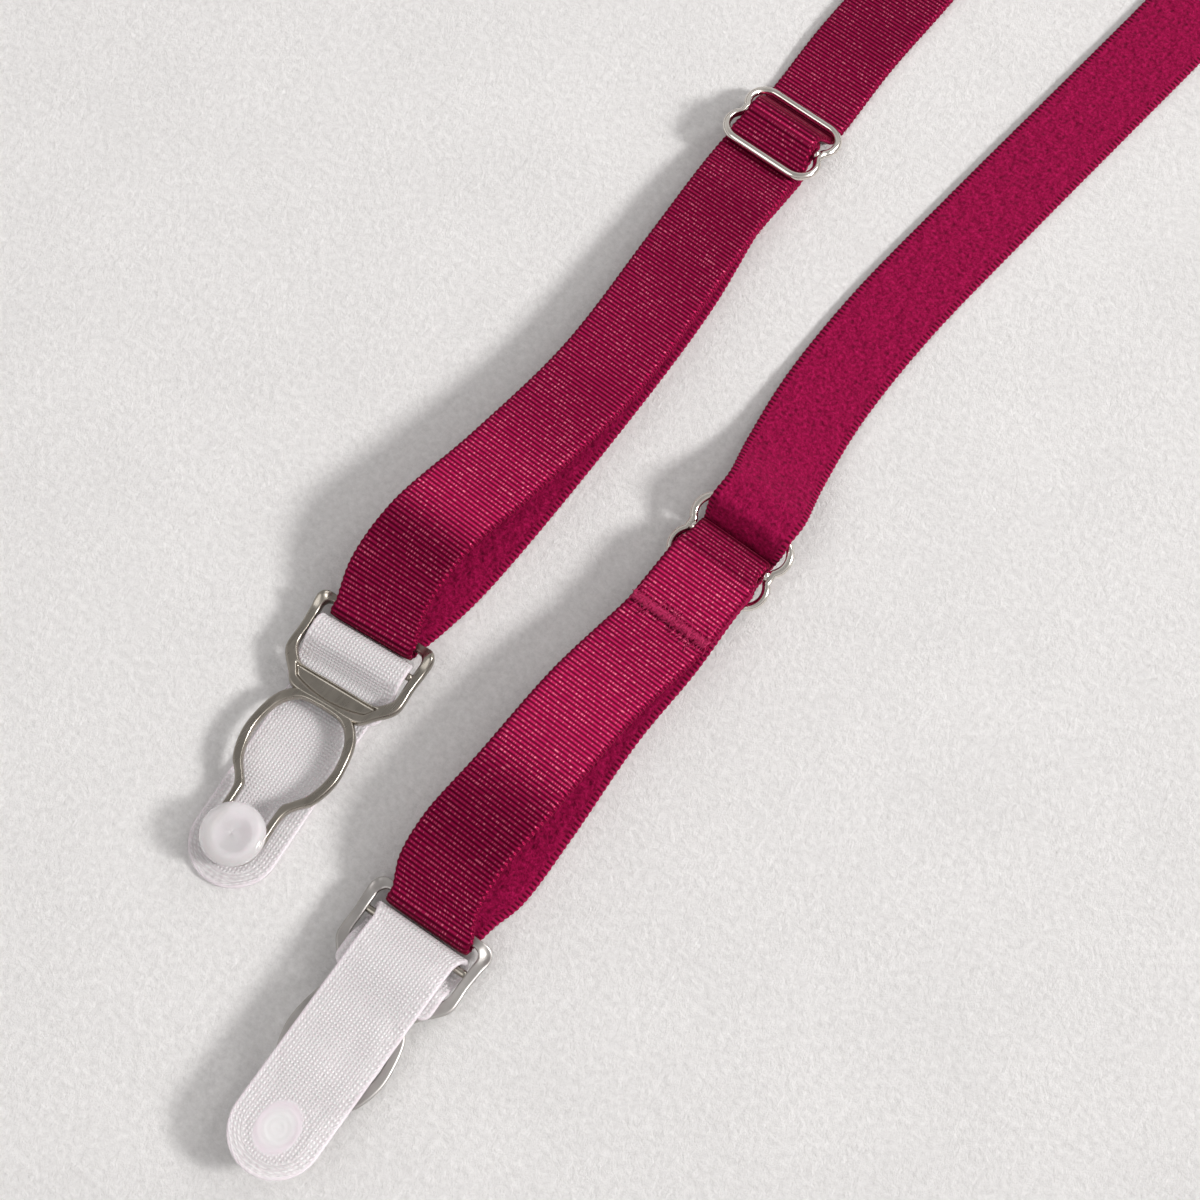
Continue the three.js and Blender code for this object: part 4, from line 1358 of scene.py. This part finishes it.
def table_point(x, y, z):
    """A point given in the view's table frame (x right, y away, z up) in packed metres."""
    s, c = math.sin(VIEW_TURN), math.cos(VIEW_TURN)
    return Vector(((x * s - y * c + SHIFT[0]) * MM, (x * c + y * s + SHIFT[1]) * MM, (z + SHIFT[2]) * MM))


print("the table's middle is at", tuple(round(v, 4) for v in table_point(0, 0, 0)), "m")


# %% Lights
def aim(obj, target):
    """Turn a lamp so that it shines at the target."""
    obj.rotation_euler = (target - obj.location).to_track_quat("-Z", "Y").to_euler()


def area_light(name, place, size, power, colour):
    """A round lamp at a place in the table frame, with its size in metres and its watts."""
    light = bpy.data.lights.new(name, "AREA")
    light.shape, light.size, light.energy, light.color = "DISK", size, power, colour
    obj = bpy.data.objects.new(name, light)
    bpy.context.scene.collection.objects.link(obj)
    obj.location = table_point(*place)
    aim(obj, table_point(0, 0, 0))
    print(f"{name}: {obj.location.length:.2f} m away, {power} W")


area_light("key", (2240, -630, 1360), 0.52, 72.0, (1.0, 0.985, 0.970))
area_light("far_window", (625, 371, 531), 0.30, 1.2, (1.0, 0.985, 0.975))
area_light("fill", (-420, -260, 620), 0.6, 1.3, (1.0, 0.985, 0.98))

# %% Pale surround
world = bpy.data.worlds.new("pale_room")
world.use_nodes = True
sky = world.node_tree.nodes
direction = sky.new("ShaderNodeTexCoord").outputs["Generated"]
split = sky.new("ShaderNodeSeparateXYZ")
height_ramp = sky.new("ShaderNodeValToRGB")
height_ramp.color_ramp.elements[0].color = (0.16, 0.15, 0.15, 1)
height_ramp.color_ramp.elements[1].position = 0.45
height_ramp.color_ramp.elements[1].color = (1.0, 0.975, 0.97, 1)
zenith = height_ramp.color_ramp.elements.new(0.95)
zenith.color = (0.52, 0.505, 0.50, 1)
world.node_tree.links.new(direction, split.inputs[0])
world.node_tree.links.new(split.outputs["Z"], height_ramp.inputs[0])
world.node_tree.links.new(height_ramp.outputs[0], sky["Background"].inputs["Color"])
sky["Background"].inputs["Strength"].default_value = 0.66
bpy.context.scene.world = world
bpy.context.scene.view_settings.view_transform = "Standard"
print("surround strength:", sky["Background"].inputs["Strength"].default_value)

# %% Camera
TILT, DISTANCE = math.radians(20.0), 295.0
camera_data = bpy.data.cameras.new("camera")
camera_data.lens, camera_data.sensor_width = 70.0, 36.0
camera_data.clip_start, camera_data.clip_end = 0.01, 5.0
camera = bpy.data.objects.new("camera", camera_data)
bpy.context.scene.collection.objects.link(camera)
camera.location = table_point(0, -DISTANCE * math.sin(TILT), DISTANCE * math.cos(TILT))
back = (camera.location - table_point(0, 0, 0)).normalized()
right_way = (table_point(1, 0, 0) - table_point(0, 0, 0)).normalized()
up_way = back.cross(right_way)
columns = [(*right_way, 0), (*up_way, 0), (*back, 0), (*camera.location, 1)]
camera.matrix_world = Matrix(columns).transposed()
bpy.context.scene.camera = camera
print("camera at", tuple(round(v, 3) for v in camera.location), "m")
